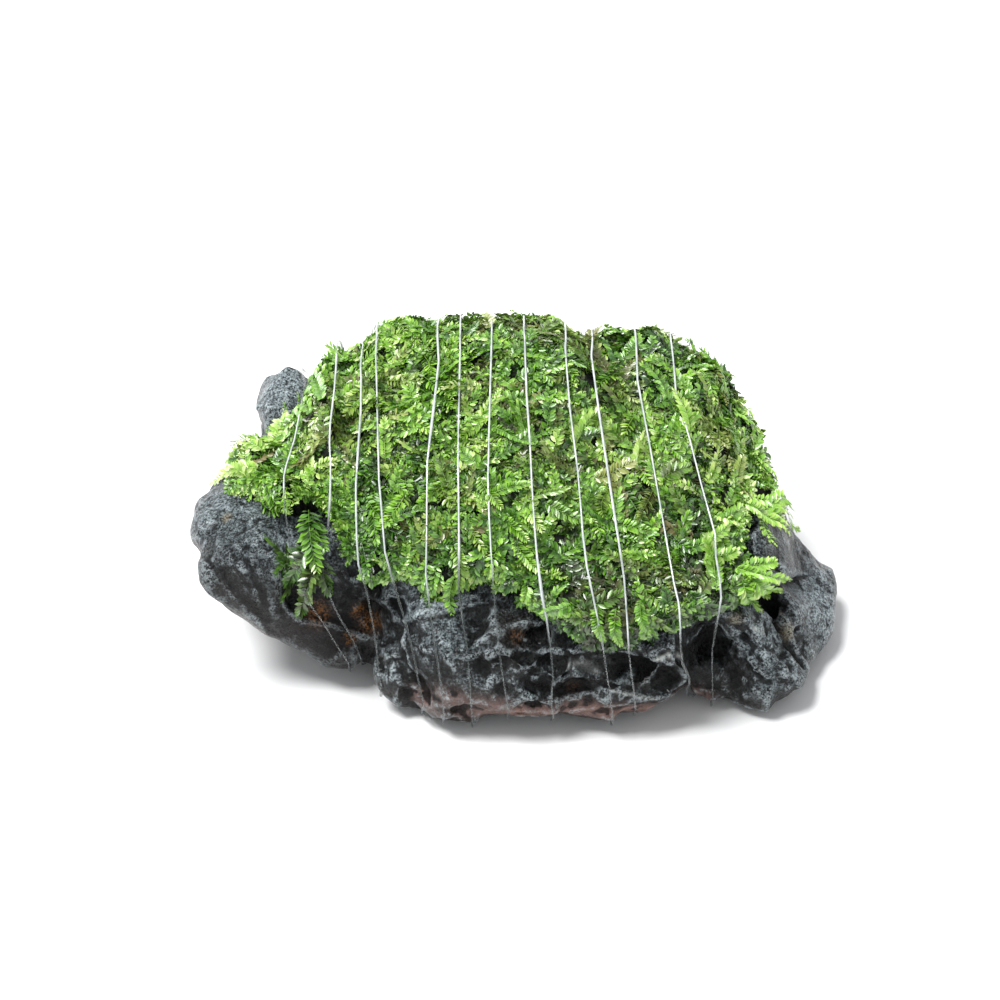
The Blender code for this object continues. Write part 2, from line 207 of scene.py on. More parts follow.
class ShaderDesk:
    """Builds one material's nodes."""

    def __init__(self, name: str) -> None:
        """Starts a material with its Principled shader.

        Args:
            name: the material's name.
        """
        self.material = bpy.data.materials.new(name)
        self.material.use_nodes = True
        self.nodes = self.material.node_tree.nodes
        self.shader = self.nodes["Principled BSDF"]

    def node(self, kind: str, settings: dict, inputs: dict, output: object = 0) -> Wire:
        """Adds a node and joins it up.

        Args:
            kind: the node's type.
            settings: its properties, set first; "stops" are a colour ramp's (place, colour) pairs.
            inputs: its sockets by name or number, as values or wires.
            output: the name or number of the socket to give back.

        Returns:
            The node's output.
        """
        node = self.nodes.new(kind)
        for name, value in settings.items():
            if name == "stops":
                self._set_stops(node.color_ramp, value)
            else:
                setattr(node, name, value)
        for name, value in inputs.items():
            self.join(value, node.inputs[name])
        return Wire(self, node.outputs[output])

    def _set_stops(self, ramp: bpy.types.ColorRamp, stops: tuple) -> None:
        """Gives a colour ramp its stops.

        Args:
            ramp: the ramp.
            stops: their places and colours.
        """
        while len(ramp.elements) < len(stops):
            ramp.elements.new(0.5)
        for element, (place, colour) in zip(ramp.elements, stops):
            element.position = place
            element.color = colour

    def join(self, value: object, socket: bpy.types.NodeSocket) -> None:
        """Links a wire to a socket, or sets the socket to a plain value.

        Args:
            value: the wire or the value.
            socket: the socket.
        """
        if isinstance(value, Wire):
            self.material.node_tree.links.new(value.socket, socket)
        else:
            socket.default_value = value

    def feed(self, **inputs: object) -> None:
        """Sets the shader's own sockets, named with _ for a space."""
        for name, value in inputs.items():
            self.join(value, self.shader.inputs[name.replace("_", " ")])

    def place(self) -> Wire:
        """The point on the piece, in its own metres."""
        return self.node("ShaderNodeTexCoord", {}, {}, "Object")

    def grain(self, scale: float, detail: float = 3.0, roughness: float = 0.55) -> Wire:
        """Cloudy noise about 0.5, of so many clouds to a metre, with finer layers in it."""
        values = {"Vector": self.place(), "Scale": scale, "Detail": detail, "Roughness": roughness}
        return self.node("ShaderNodeTexNoise", {}, values, "Fac")

    def mix(self, share: object, first: object, second: object) -> Wire:
        """The colour between two others, with the second one's share."""
        return self.node("ShaderNodeMix", {"data_type": "RGBA"}, {0: share, 6: first, 7: second}, 2)

    def vectors(self, operation: str, *values: object, output: object = 0) -> Wire:
        """Adds a Vector Math node of that operation on the values."""
        settings = {"operation": operation}
        return self.node("ShaderNodeVectorMath", settings, dict(enumerate(values)), output)

    def channels(self, attribute: str) -> list[Wire]:
        """The four values of a colour attribute on the piece.

        Args:
            attribute: the attribute's name.

        Returns:
            Its red, green, blue and alpha.
        """
        node = self.node("ShaderNodeAttribute", {"attribute_name": attribute}, {}, "Color")
        split = self.node("ShaderNodeSeparateColor", {}, {"Color": node})
        sockets = (*split.socket.node.outputs, node.socket.node.outputs["Alpha"])
        return [Wire(self, socket) for socket in sockets]

    def chips(self, scale: float, sway: float = 0.0) -> Wire:
        """The height of small flat chips, each tilted its own way, about 0 in the middle.

        Args:
            scale: chips to a metre.
            sway: how far the chips' borders wander, in metres.

        Returns:
            The height, for chips one unit wide.
        """
        place = self.place()
        if sway:
            values = {"Vector": place, "Scale": scale * 1.5, "Detail": 3.0}
            wander = self.node("ShaderNodeTexNoise", {}, values, "Color")
            wander = self.vectors("MULTIPLY_ADD", wander, (2 * sway,) * 3, (-sway,) * 3)
            place = self.vectors("ADD", place, wander)
        cell = self.node("ShaderNodeTexVoronoi", {}, {"Vector": place, "Scale": scale}, "Position")
        tint = Wire(self, cell.socket.node.outputs["Color"])
        off = self.vectors("SUBTRACT", place, cell)
        tilt = self.vectors("SUBTRACT", tint, (0.5, 0.5, 0.5))
        return self.vectors("DOT_PRODUCT", off, tilt, output="Value") * scale

    def bump(self, height: Wire, depth: float, strength: float = 1.0) -> Wire:
        """The normal bent by a height, where a height of 1 is so many metres."""
        values = {"Height": height, "Distance": depth, "Strength": strength}
        return self.node("ShaderNodeBump", {}, values)


@dataclass(frozen=True)
class StoneFinish:
    """Wet, dark volcanic rock with its own brownish tone, rust, tan and pale mineral grains, and with
    painted light: painted sheen, top light, glints and edge highlights, painted shade in recesses and on
    low downward faces, and a painted pinkish reflection along the base.
    """

    # Near-black: a darker tone at random, and painted shade in recesses, carved parts and gaps.
    dark_tone_and_shade: Colour = linear(8, 9, 9)
    body: Colour = linear(27, 30, 30)
    # Painted top light, mixed onto upward faces.
    lit: Colour = linear(108, 119, 123)
    # Painted glints and highlights.
    glint: Colour = linear(196, 208, 212)
    # Painted sheen: a bluish-grey reflection on upper faces.
    blue_sheen: Colour = linear(172, 187, 193)
    # Brownish-black tone, also painted as shade on low downward faces.
    brown_and_shade: Colour = linear(27, 21, 19)
    # Painted pinkish reflection along the base.
    rosy_reflection: Colour = linear(164, 130, 120)
    rust: Colour = linear(168, 112, 56)
    tan: Colour = linear(164, 150, 120)
    # Pale mineral grains, also painted as highlights along ridges.
    pale: Colour = linear(208, 212, 208)
    clouds: float = 150.0
    crumbs: float = 800.0
    sand: float = 2700.0
    relief: float = 0.0006

    def material(self) -> bpy.types.Material:
        """Builds the stone's material.

        Returns:
            The material.
        """
        desk = ShaderDesk("wet_stone")
        brown_and_shade, rust, tan, pale = desk.channels("washes")
        # The tones hold painted sheen, a painted pinkish reflection and painted shade.
        blue_sheen, rosy_reflection, dark, _ = desk.channels("tones")
        proud, hollow_shade, _, _ = desk.channels("form")
        cloud = desk.grain(self.clouds, 5.0, 0.6)
        crumbs = desk.grain(self.crumbs, 4.0, 0.7)
        sand = desk.grain(self.sand, 4.0, 0.85)
        normal = desk.node("ShaderNodeNewGeometry", {}, {}, "Normal")
        facing = desk.node("ShaderNodeSeparateXYZ", {}, {"Vector": normal}, "Z")
        speckle = crumbs * 0.25 + sand * 0.75
        colour = desk.mix((cloud * 0.5 + speckle * 1.3).ramp(0.78, 1.0), self.dark_tone_and_shade, self.body)
        # Painted top light: upward faces made lighter, in speckles.
        painted_top_light = facing.ramp(0.0, 0.95) * speckle.ramp(0.46, 0.57) * (0.8 - brown_and_shade * 0.6)
        # Painted glints: bright speckles, most on upward faces and in the sheen patches.
        patchy = (cloud.ramp(0.44, 0.60) * 0.35 + blue_sheen * 0.6).clamped() * (1.0 - brown_and_shade * 0.8)
        sparkle = (facing * 0.4 + 0.6).clamped() * speckle.ramp(0.53, 0.60) * patchy
        # Painted highlights along proud ridges.
        edges = proud.ramp(0.56, 0.86) * speckle.ramp(0.44, 0.56)
        washes = (
            # Painted top light.
            (painted_top_light.clamped(), self.lit),
            # Painted sheen on upper faces.
            ((blue_sheen * speckle.ramp(0.42, 0.60)).clamped() * 0.9, self.blue_sheen),
            # Brownish tone, and painted shade on low downward faces.
            ((brown_and_shade * (cloud + 0.6)).clamped() * 0.92, self.brown_and_shade),
            # Painted pinkish reflection.
            ((rosy_reflection * (crumbs + 0.5)).clamped() * 0.85, self.rosy_reflection),
            # Painted highlights on ridges, and painted glints.
            ((edges * 0.5 + sparkle * 0.8).clamped(), self.glint),
            # Painted shade in recesses.
            ((0.5 - proud).ramp(0.0, 0.24) * 0.88, self.dark_tone_and_shade),
            # Painted shade in carved parts and under the painted-shade marks.
            ((hollow_shade * 0.7 + dark * 0.9).clamped(), self.dark_tone_and_shade),
            ((rust * speckle.ramp(0.48, 0.56)).clamped(), self.rust),
            ((tan * speckle.ramp(0.40, 0.56)).clamped(), self.tan),
            # Pale mineral, and painted highlights along ridges.
            ((pale * speckle.ramp(0.36, 0.52)).clamped(), self.pale),
        )
        for share, wash in washes:
            colour = desk.mix(share, colour, wash)
        facets = desk.chips(420.0, 0.0009) * 1.3 + desk.chips(1300.0, 0.0002) * 0.5
        height = facets + crumbs * 0.45 + sand * 0.38 + desk.chips(3400.0) * 0.5
        desk.feed(
            Base_Color=colour,
            Roughness=(0.14 + crumbs * 0.40).clamped(),
            Normal=desk.bump(height, self.relief),
            Specular_IOR_Level=0.24,
            Coat_Weight=(cloud.ramp(0.44, 0.60) * 0.3).clamped(),
            Coat_IOR=1.33,
            Coat_Roughness=0.08,
        )
        return desk.material


@dataclass(frozen=True)
class MossFinish:
    """Wet willow moss leaves, from dark olive through leaf green to pale yellow tips, with painted
    highlights on leaf edges and painted shade towards leaf bases.
    """

    stops: tuple = (
        (0.0, linear(10, 34, 4)),
        (0.25, linear(40, 92, 10)),
        (0.5, linear(98, 158, 28)),
        (0.75, linear(150, 204, 62)),
        (0.9, linear(194, 224, 112)),
        (1.0, linear(220, 236, 172)),
    )
    withered: Colour = linear(150, 136, 88)
    # Colour of the painted highlight on leaf edges.
    rim: Colour = linear(226, 238, 202)
    midrib: Colour = linear(120, 150, 66)
    mottle: float = 1400.0
    veins: float = 5200.0

    def material(self) -> bpy.types.Material:
        """Builds the leaves' material. It reads tint, age, along and across from each leaf.

        Returns:
            The material.
        """
        desk = ShaderDesk("moss_leaf")
        tint, age, along, across = desk.channels("leaf")
        mottle = desk.grain(self.mottle)
        # Leaves darken towards their base, where the leaf before overlaps them: painted shade.
        place = (tint + (mottle - 0.5) * 0.22 + along * 0.22 - 0.13).clamped()
        colour = desk.node("ShaderNodeValToRGB", {"stops": self.stops}, {"Fac": place}, "Color")
        colour = desk.mix((age * 0.85).clamped(), colour, self.withered)
        # Pale edges on the lighter leaves: painted highlight.
        colour = desk.mix(across.ramp(0.66, 1.0) * place.ramp(0.12, 0.55) * 0.6, colour, self.rim)
        colour = desk.mix((0.16 - across).ramp(0.0, 0.16) * 0.25, colour, self.midrib)
        veins = desk.grain(self.veins, 2.0)
        desk.feed(
            Base_Color=colour,
            Roughness=(0.26 + veins * 0.22).clamped(),
            Normal=desk.bump(veins, 0.0001, 0.5),
            Specular_IOR_Level=0.8,
            Coat_Weight=0.6,
            Coat_Roughness=0.22,
        )
        return desk.material


@dataclass(frozen=True)
class UnderlayerFinish:
    """The dark tangle of old stems below the living fronds."""

    dark: Colour = linear(6, 12, 3)
    light: Colour = linear(26, 38, 12)

    def material(self) -> bpy.types.Material:
        """Builds the underlayer's material.

        Returns:
            The material.
        """
        desk = ShaderDesk("moss_underlayer")
        tangle = desk.grain(1500.0, 4.0, 0.7)
        colour = desk.mix(tangle.ramp(0.4, 0.7), self.dark, self.light)
        desk.feed(Base_Color=colour, Roughness=0.85, Normal=desk.bump(tangle, 0.0008))
        return desk.material


@dataclass(frozen=True)
class LineFinish:
    """Clear nylon line, painted near-white over the moss as a painted highlight and darkened over the
    stone as painted shade for the dark stone seen through it, where it is also more see-through.
    """

    # Near-white over the moss is a painted highlight; the darkened colour over the stone is painted shade.
    clear: Colour = linear(246, 249, 250)
    milky: Colour = linear(204, 212, 214)
    painted_shade_over_stone: Colour = linear(104, 110, 110)

    def material(self) -> bpy.types.Material:
        """Builds the line's material.

        Returns:
            The material.
        """
        desk = ShaderDesk("clear_line")
        haze = desk.grain(420.0, 2.0)
        over_moss = desk.channels("over_moss")[0]
        colour = desk.mix(haze.ramp(0.35, 0.7), self.clear, self.milky)
        desk.feed(
            # Painted highlight over the moss, painted shade over the stone.
            Base_Color=desk.mix(over_moss, self.painted_shade_over_stone, colour),
            Roughness=(0.10 + haze * 0.12).clamped(),
            Alpha=(0.32 + over_moss * 0.68).clamped(),
            Transmission_Weight=0.3,
            IOR=1.53,
        )
        return desk.material


def clear_selection() -> None:
    """Deselects every object and leaves edit mode."""
    if bpy.context.object and bpy.context.object.mode != "OBJECT":
        bpy.ops.object.mode_set(mode="OBJECT")
    bpy.ops.object.select_all(action="DESELECT")


def make_active(obj: bpy.types.Object) -> None:
    """Selects one object alone and makes it the active one.

    Args:
        obj: the object.
    """
    clear_selection()
    obj.select_set(True)
    bpy.context.view_layer.objects.active = obj


def linked(name: str, data: bpy.types.ID) -> bpy.types.Object:
    """A new object in the scene.

    Args:
        name: its name.
        data: its mesh, camera or light.

    Returns:
        The object.
    """
    obj = bpy.data.objects.new(name, data)
    bpy.context.scene.collection.objects.link(obj)
    return obj


def copied(name: str, node: str, cuts: int = 0) -> bpy.types.Object:
    """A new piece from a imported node, with its loose triangles merged.

    Args:
        name: the piece's name.
        node: the node's name.
        cuts: how many cuts each edge gets.

    Returns:
        The piece, as the active object.
    """
    piece = linked(name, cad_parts[node].data.copy())
    make_active(piece)
    bpy.ops.object.mode_set(mode="EDIT")
    bpy.ops.mesh.select_all(action="SELECT")
    bpy.ops.mesh.remove_doubles(threshold=MERGED)
    if cuts:
        bpy.ops.mesh.subdivide(number_cuts=cuts, smoothness=0.0)
    bpy.ops.object.mode_set(mode="OBJECT")
    return piece


def dress(obj: bpy.types.Object, material: bpy.types.Material, slot: str, *nodes: str) -> None:
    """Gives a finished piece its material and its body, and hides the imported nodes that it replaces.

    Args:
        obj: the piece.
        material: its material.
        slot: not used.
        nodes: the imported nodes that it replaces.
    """
    obj.data.materials.clear()
    obj.data.materials.append(material)
    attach(obj, "root")
    if nodes:
        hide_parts(*nodes)
    log.info("%s: %d faces", obj.name, len(obj.data.polygons))


class Solids:
    """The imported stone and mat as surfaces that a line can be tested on."""

    def __init__(self, names: tuple[str, ...]) -> None:
        """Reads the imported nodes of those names."""
        self.trees = {name: self._tree(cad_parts[name]) for name in names}

    def _tree(self, node: bpy.types.Object) -> BVHTree:
        """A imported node's faces as a search tree.

        Args:
            node: the node.

        Returns:
            The tree.
        """
        shape = bmesh.new()
        shape.from_mesh(node.data)
        bmesh.ops.remove_doubles(shape, verts=shape.verts[:], dist=MERGED)
        tree = BVHTree.FromBMesh(shape)
        shape.free()
        return tree

    def seen(self, view: Viewpoint, px: float, py: float, name: str) -> Vector | None:
        """Where a pixel's line of sight meets a node, or None where it misses it."""
        return self.trees[name].ray_cast(view.eye(), view.look(px, py))[0]

    def first_seen(self, view: Viewpoint, px: float, py: float) -> Vector:
        """Where a pixel's line of sight first meets a node, or the closest place where it misses.

        Args:
            view: the photograph's viewpoint.
            px: pixels from the left.
            py: pixels from the top.

        Returns:
            The point.
        """
        hits = [self.seen(view, px, py, name) for name in self.trees]
        hits = [hit for hit in hits if hit is not None]
        start = view.eye()
        if not hits:
            start = view.eye() + view.look(px, py) * view.distance
            hits = [tree.find_nearest(start)[0] for tree in self.trees.values()]
        return min(hits, key=lambda hit: (hit - start).length)

    def reach(self, name: str, origin: Vector, out: Vector, far: float = 0.07) -> float:
        """How far from a point a node's outermost surface lies in one direction, or 0 if it doesn't."""
        hit = self.trees[name].ray_cast(origin + out * far, -out)
        return 0.0 if hit[0] is None else far - hit[3]


@dataclass
class MatSurface:
    """The mat's outer surface, and beside the mat the stone's own."""

    solids: Solids
    view: Viewpoint
    axis_y: float = -0.00106
    axis_z: float = 0.008
    first_x: float = -0.047
    last_x: float = 0.046
    step_x: float = 0.0008
    first_angle: float = 2.0
    last_angle: float = 176.0
    step_angle: float = 1.0
    most_tilt: float = 88.0
    bare_lift: float = 0.0006
    smoothing: int = 2
    bare_step: float = 0.003
    shoulder_inset: float = 0.0005
    shoulder_smoothing: int = 6
    bare_px: tuple[Path, ...] = (
        ((757, 484), (850, 490), (850, 700), (738, 622), (742, 600), (745, 560), (749, 515)),
        ((240, 360), (312, 362), (302, 376), (284, 390), (262, 403), (240, 408)),
        ((298, 494), (318, 498), (330, 514), (338, 545), (352, 585), (356, 640), (270, 640), (280, 530)),
    )
    height: np.ndarray = field(init=False)
    ground: np.ndarray = field(init=False)
    margin: np.ndarray = field(init=False)
    shoulder: np.ndarray = field(init=False)

    def __post_init__(self) -> None:
        """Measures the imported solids, how far each place is from the mat's rim, and the shoulder."""
        xs = np.arange(self.first_x, self.last_x, self.step_x)
        angles = np.arange(self.first_angle, self.last_angle, self.step_angle)
        top, self.ground = (self._reaches(name, xs, angles) for name in ("moss_mat", "stone"))
        self.height = blurred(np.maximum(top, self.ground + self.bare_lift), self.smoothing)
        x, angle = np.meshgrid(xs, angles, indexing="ij")
        areas = [self._shown(x, angle, outline) for outline in self.bare_px]
        bare = np.any(areas, axis=0)
        covered = (top > self.ground) & ~bare
        places = self.point(x, angle, np.zeros_like(x))
        rim = places[covered & ~np.all(neighbours(covered, "constant"), axis=0)]
        distance = np.stack([np.linalg.norm(row[:, None] - rim[None], axis=-1).min(1) for row in places])
        self.margin = np.where(covered, distance, -distance) - bare * self.bare_step
        rise = np.clip(top - self.ground - self.shoulder_inset, 0, None)
        rise = np.where(areas[0] & (self.ground > 0), rise, 0.0)
        self.shoulder = blurred(rise, self.shoulder_smoothing)

    def _reaches(self, name: str, xs: np.ndarray, angles: np.ndarray) -> np.ndarray:
        """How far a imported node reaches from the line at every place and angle.

        Args:
            name: the node's name.
            xs: the places along X.
            angles: the angles.

        Returns:
            The distances, a row for each place.
        """
        reaches = np.zeros((len(xs), len(angles)))
        for i, x in enumerate(xs):
            origin = Vector((x, self.axis_y, self.axis_z))
            for j, angle in enumerate(np.radians(angles)):
                out = Vector((0.0, -math.cos(angle), math.sin(angle)))
                reaches[i, j] = self.solids.reach(name, origin, out)
        return reaches

    def _shown(self, x: np.ndarray, angle: np.ndarray, outline: Path) -> np.ndarray:
        """Which grid points the photograph shows inside an outline.

        Args:
            x: the points' places along X.
            angle: the points' angles.
            outline: the outline's corners.

        Returns:
            True for those that show inside it.
        """
        places = self.point(x, angle, np.zeros_like(x)).reshape(-1, 3)
        faces = self.normal(x, angle).reshape(-1, 3)
        shown = ((np.array(self.view.eye()) - places) * faces).sum(1) > 0
        return (within(self.view.project(places), outline) & shown).reshape(x.shape)

    def sample(self, grid: np.ndarray, x: np.ndarray, angle: np.ndarray) -> np.ndarray:
        """A grid's values between its points.

        Args:
            grid: the grid.
            x: places along X.
            angle: angles in degrees.

        Returns:
            The values there.
        """
        i = np.clip((x - self.first_x) / self.step_x, 0, grid.shape[0] - 1.001)
        j = np.clip((angle - self.first_angle) / self.step_angle, 0, grid.shape[1] - 1.001)
        a, b = i.astype(int), j.astype(int)
        u, v = i - a, j - b
        low = grid[a, b] * (1 - v) + grid[a, b + 1] * v
        high = grid[a + 1, b] * (1 - v) + grid[a + 1, b + 1] * v
        return low * (1 - u) + high * u

    def outward(self, angle: np.ndarray) -> np.ndarray:
        """The directions away from the line at some angles, with their three coordinates last."""
        turn = np.radians(angle)
        return np.stack([np.zeros_like(turn), -np.cos(turn), np.sin(turn)], -1)

    def place(self, x: np.ndarray, angle: np.ndarray, reach: np.ndarray) -> np.ndarray:
        """The points at some distances from the line, with their three coordinates last."""
        axis = np.stack([x, np.full_like(x, self.axis_y), np.full_like(x, self.axis_z)], -1)
        return axis + self.outward(angle) * reach[..., None]

    def point(self, x: np.ndarray, angle: np.ndarray, depth: np.ndarray) -> np.ndarray:
        """The points at some depths under the surface, with their three coordinates last."""
        return self.place(x, angle, self.sample(self.height, x, angle) - depth)

    def slopes(self, x: np.ndarray, angle: np.ndarray) -> tuple[np.ndarray, np.ndarray]:
        """How the surface runs at some points.

        Args:
            x: places along X.
            angle: angles in degrees.

        Returns:
            The change of place for a metre along X, and for a degree of angle.
        """
        zero = np.zeros_like(x)
        step = 1.5 * self.step_x
        turn = 2.0 * self.step_angle
        along = self.point(x + step, angle, zero) - self.point(x - step, angle, zero)
        about = self.point(x, angle + turn, zero) - self.point(x, angle - turn, zero)
        return along / (2 * step), about / (2 * turn)

    def paces(self, x: np.ndarray, angle: np.ndarray) -> list[np.ndarray]:
        """How many metres of surface go by for a metre along X, and for a degree of angle."""
        return [np.linalg.norm(slope, axis=-1) for slope in self.slopes(x, angle)]

    def normal(self, x: np.ndarray, angle: np.ndarray) -> np.ndarray:
        """The surface's outward unit directions, with their three coordinates last."""
        out = unit(np.cross(*self.slopes(x, angle)))
        return np.where((out * self.outward(angle)).sum(-1, keepdims=True) < 0, -out, out)

    def advance(self, x: np.ndarray, angle: np.ndarray, heading: np.ndarray, run: np.ndarray) -> tuple:
        """Moves points over the surface.

        Args:
            x: places along X.
            angle: angles in degrees.
            heading: directions in degrees, 0 along +X and 90 towards the back.
            run: how far they move.

        Returns:
            The new places and angles.
        """
        along, about = self.paces(x, angle)
        turn = np.radians(heading)
        return x + np.cos(turn) * run / along, angle + np.sin(turn) * run / about

    def locate(self, place: np.ndarray) -> tuple[np.ndarray, np.ndarray, np.ndarray]:
        """The places along X, the angles and the distances from the line of some points."""
        y, z = place[..., 1] - self.axis_y, place[..., 2] - self.axis_z
        return place[..., 0], np.degrees(np.arctan2(z, -y)), np.hypot(y, z)

    def survey(self, places: np.ndarray) -> tuple[np.ndarray, ...]:
        """How some points lie to the mat and the stone.

        Args:
            places: the points.

        Returns:
            Their angles, their distances from the line, how far they are inside the mat's rim, and
            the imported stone's own distances from the line there.
        """
        x, angle, reach = self.locate(places)
        return angle, reach, self.sample(self.margin, x, angle), self.sample(self.ground, x, angle)

    def above(self, angle: np.ndarray) -> np.ndarray:
        """Which angles lie above the line."""
        return np.abs(angle - 90.0) < self.most_tilt


def within(pixels: np.ndarray, outline: Path) -> np.ndarray:
    """Which pixels lie inside an outline.

    Args:
        pixels: the pixels.
        outline: the outline's corners.

    Returns:
        True for those inside.
    """
    inside = np.zeros(len(pixels), bool)
    for (ax, ay), (bx, by) in zip(outline, outline[1:] + outline[:1]):
        if ay != by:
            spans = (ay > pixels[:, 1]) != (by > pixels[:, 1])
            inside ^= spans & (pixels[:, 0] < ax + (pixels[:, 1] - ay) / (by - ay) * (bx - ax))
    return inside


def off_path(points: np.ndarray, path: list[np.ndarray]) -> tuple[np.ndarray, np.ndarray]:
    """How points lie to a path.

    Args:
        points: the points.
        path: the path's corners, with as many coordinates as the points.

    Returns:
        Their distances, and 1 for those to the right of it in the photograph, or else -1.
    """
    nearest, side = np.full(len(points), np.inf), np.zeros(len(points))
    for a, b in zip(path, path[1:]):
        away, run = points - a, b - a
        share = np.clip(away @ run / (run @ run), 0, 1)
        length = np.linalg.norm(away - share[:, None] * run, axis=1)
        side = np.where(length < nearest, np.sign(run[0] * away[:, 1] - run[1] * away[:, 0]), side)
        nearest = np.minimum(nearest, length)
    return nearest, side


def neighbours(grid: np.ndarray, mode: str) -> list[np.ndarray]:
    """The grid shifted each of four ways, padded in NumPy's way of that name."""
    ring = np.pad(grid, 1, mode=mode)
    return [ring[:-2, 1:-1], ring[2:, 1:-1], ring[1:-1, :-2], ring[1:-1, 2:]]


def blurred(grid: np.ndarray, rounds: int) -> np.ndarray:
    """A grid with each value drawn towards its four neighbours.

    Args:
        grid: the grid.
        rounds: how often it is drawn.

    Returns:
        The smoother grid.
    """
    for _ in range(rounds):
        grid = sum(neighbours(grid, "edge"), 4 * grid) / 8
    return grid


def drift(x: np.ndarray, angle: np.ndarray, scale: float, lane: float) -> np.ndarray:
    """Soft noise over the mat, from about -0.6 to 0.6.

    Args:
        x: places along X.
        angle: angles in degrees.
        scale: patches to a metre.
        lane: which noise it is.

    Returns:
        The noise at each place.
    """
    around = 0.02
    spots = [Vector((a * scale, math.radians(b) * around * scale, lane)) for a, b in zip(x, angle)]
    return np.array([noise.noise(spot) for spot in spots])


def unit(vectors: np.ndarray) -> np.ndarray:
    """Vectors brought to length 1."""
    return vectors / np.linalg.norm(vectors, axis=-1, keepdims=True)



@dataclass
class Leaf:
    """One small cupped leaf of the moss, modelled lying along +Y with its base at the origin."""

    name: str
    width: float = 0.45
    cup: float = 0.16
    curl: float = 0.16
    rows: tuple[float, ...] = (0.10, 0.86, 1.0, 0.78, 0.05)
    points: np.ndarray = field(init=False)
    faces: np.ndarray = field(init=False)

    def __post_init__(self) -> None:
        """Models the leaf and reads it as arrays for the many copies."""
        clear_selection()
        last = len(self.rows) - 1
        bpy.ops.mesh.primitive_grid_add(x_subdivisions=2, y_subdivisions=last, size=1.0)
        blade = bpy.context.object
        blade.name = self.name
        bpy.ops.object.mode_set(mode="EDIT")
        for row, share in enumerate(self.rows):
            self._select(blade, lambda v, y=row / last - 0.5: abs(v.co.y - y) < 0.01)
            bpy.ops.transform.resize(value=(share * self.width, 1.0, 1.0))
            bpy.ops.transform.translate(value=(0.0, 0.0, -self.curl * (row / last) ** 2))
        self._select(blade, lambda v: abs(v.co.x) < 0.001)
        bpy.ops.transform.translate(value=(0.0, 0.0, -self.cup * self.width))
        for end in (-0.5, 0.5):
            self._select(blade, lambda v, y=end: abs(v.co.y - y) < 0.01)
            bpy.ops.mesh.merge(type="CENTER")
        bpy.ops.mesh.select_all(action="SELECT")
        bpy.ops.transform.translate(value=(0.0, 0.5, 0.0))
        bpy.ops.mesh.quads_convert_to_tris(quad_method="SHORTEST_DIAGONAL")
        bpy.ops.object.mode_set(mode="OBJECT")
        self.points = np.array([v.co for v in blade.data.vertices])
        self.faces = np.array([p.vertices for p in blade.data.polygons])
        bpy.data.objects.remove(blade)

    def _select(self, blade: bpy.types.Object, wanted: object) -> None:
        """Selects the leaf's points that pass a test.

        Args:
            blade: the leaf.
            wanted: the test of one point.
        """
        shape = bmesh.from_edit_mesh(blade.data)
        for vert in shape.verts:
            vert.select_set(bool(wanted(vert)))
        shape.select_flush_mode()
        bmesh.update_edit_mesh(blade.data)


@dataclass
class Look:
    """How the leaves of a batch of fronds look, with one value for each frond."""

    tint: np.ndarray
    age: np.ndarray
    size: np.ndarray


@dataclass
class Sowing(Look):
    """Where a batch of fronds is rooted and how each one runs.

    Headings are in degrees over the surface, 0 along +X and 90 towards the back. The overhang is
    how far a frond may run out over the mat's rim.
    """

    x: np.ndarray
    angle: np.ndarray
    heading: np.ndarray
    bend: np.ndarray
    length: np.ndarray
    root_depth: np.ndarray
    tip_depth: np.ndarray
    overhang: np.ndarray


@dataclass
class Part:
    """Triangles with the four leaf values of each vertex: tint, age, along and across."""

    verts: np.ndarray
    faces: np.ndarray
    marks: np.ndarray

    def __post_init__(self) -> None:
        """Lays the arrays out with a row for each vertex and each face."""
        self.verts, self.faces = self.verts.reshape(-1, 3), self.faces.reshape(-1, 3)
        self.marks = self.marks.reshape(-1, 4)

    @staticmethod
    def joined(parts: list["Part"]) -> "Part":
        """Puts several parts in one.

        Args:
            parts: the parts.

        Returns:
            One part.
        """
        starts = np.cumsum([0] + [len(p.verts) for p in parts])
        rows = zip(*((p.verts, p.faces + start, p.marks) for p, start in zip(parts, starts)))
        return Part(*map(np.concatenate, rows))

    def between(self, low: float, high: float) -> "Part":
        """The triangles whose first corner lies in a span of X.

        Args:
            low: the span's start.
            high: the span's end.

        Returns:
            A part of those alone.
        """
        first = self.verts[self.faces[:, 0], 0]
        used, renumbered = np.unique(self.faces[(first >= low) & (first < high)], return_inverse=True)
        return Part(self.verts[used], renumbered, self.marks[used])

    def to_object(self, name: str) -> bpy.types.Object:
        """Makes an object of the triangles.

        Args:
            name: its name.

        Returns:
            The object, linked to the scene.
        """
        mesh = bpy.data.meshes.new(name)
        mesh.from_pydata(self.verts, [], self.faces, shade_flat=False)
        values = mesh.attributes.new("leaf", "FLOAT_COLOR", "POINT")
        values.data.foreach_set("color", self.marks.astype(np.float32).ravel())
        mesh.shade_smooth()
        return linked(name, mesh)


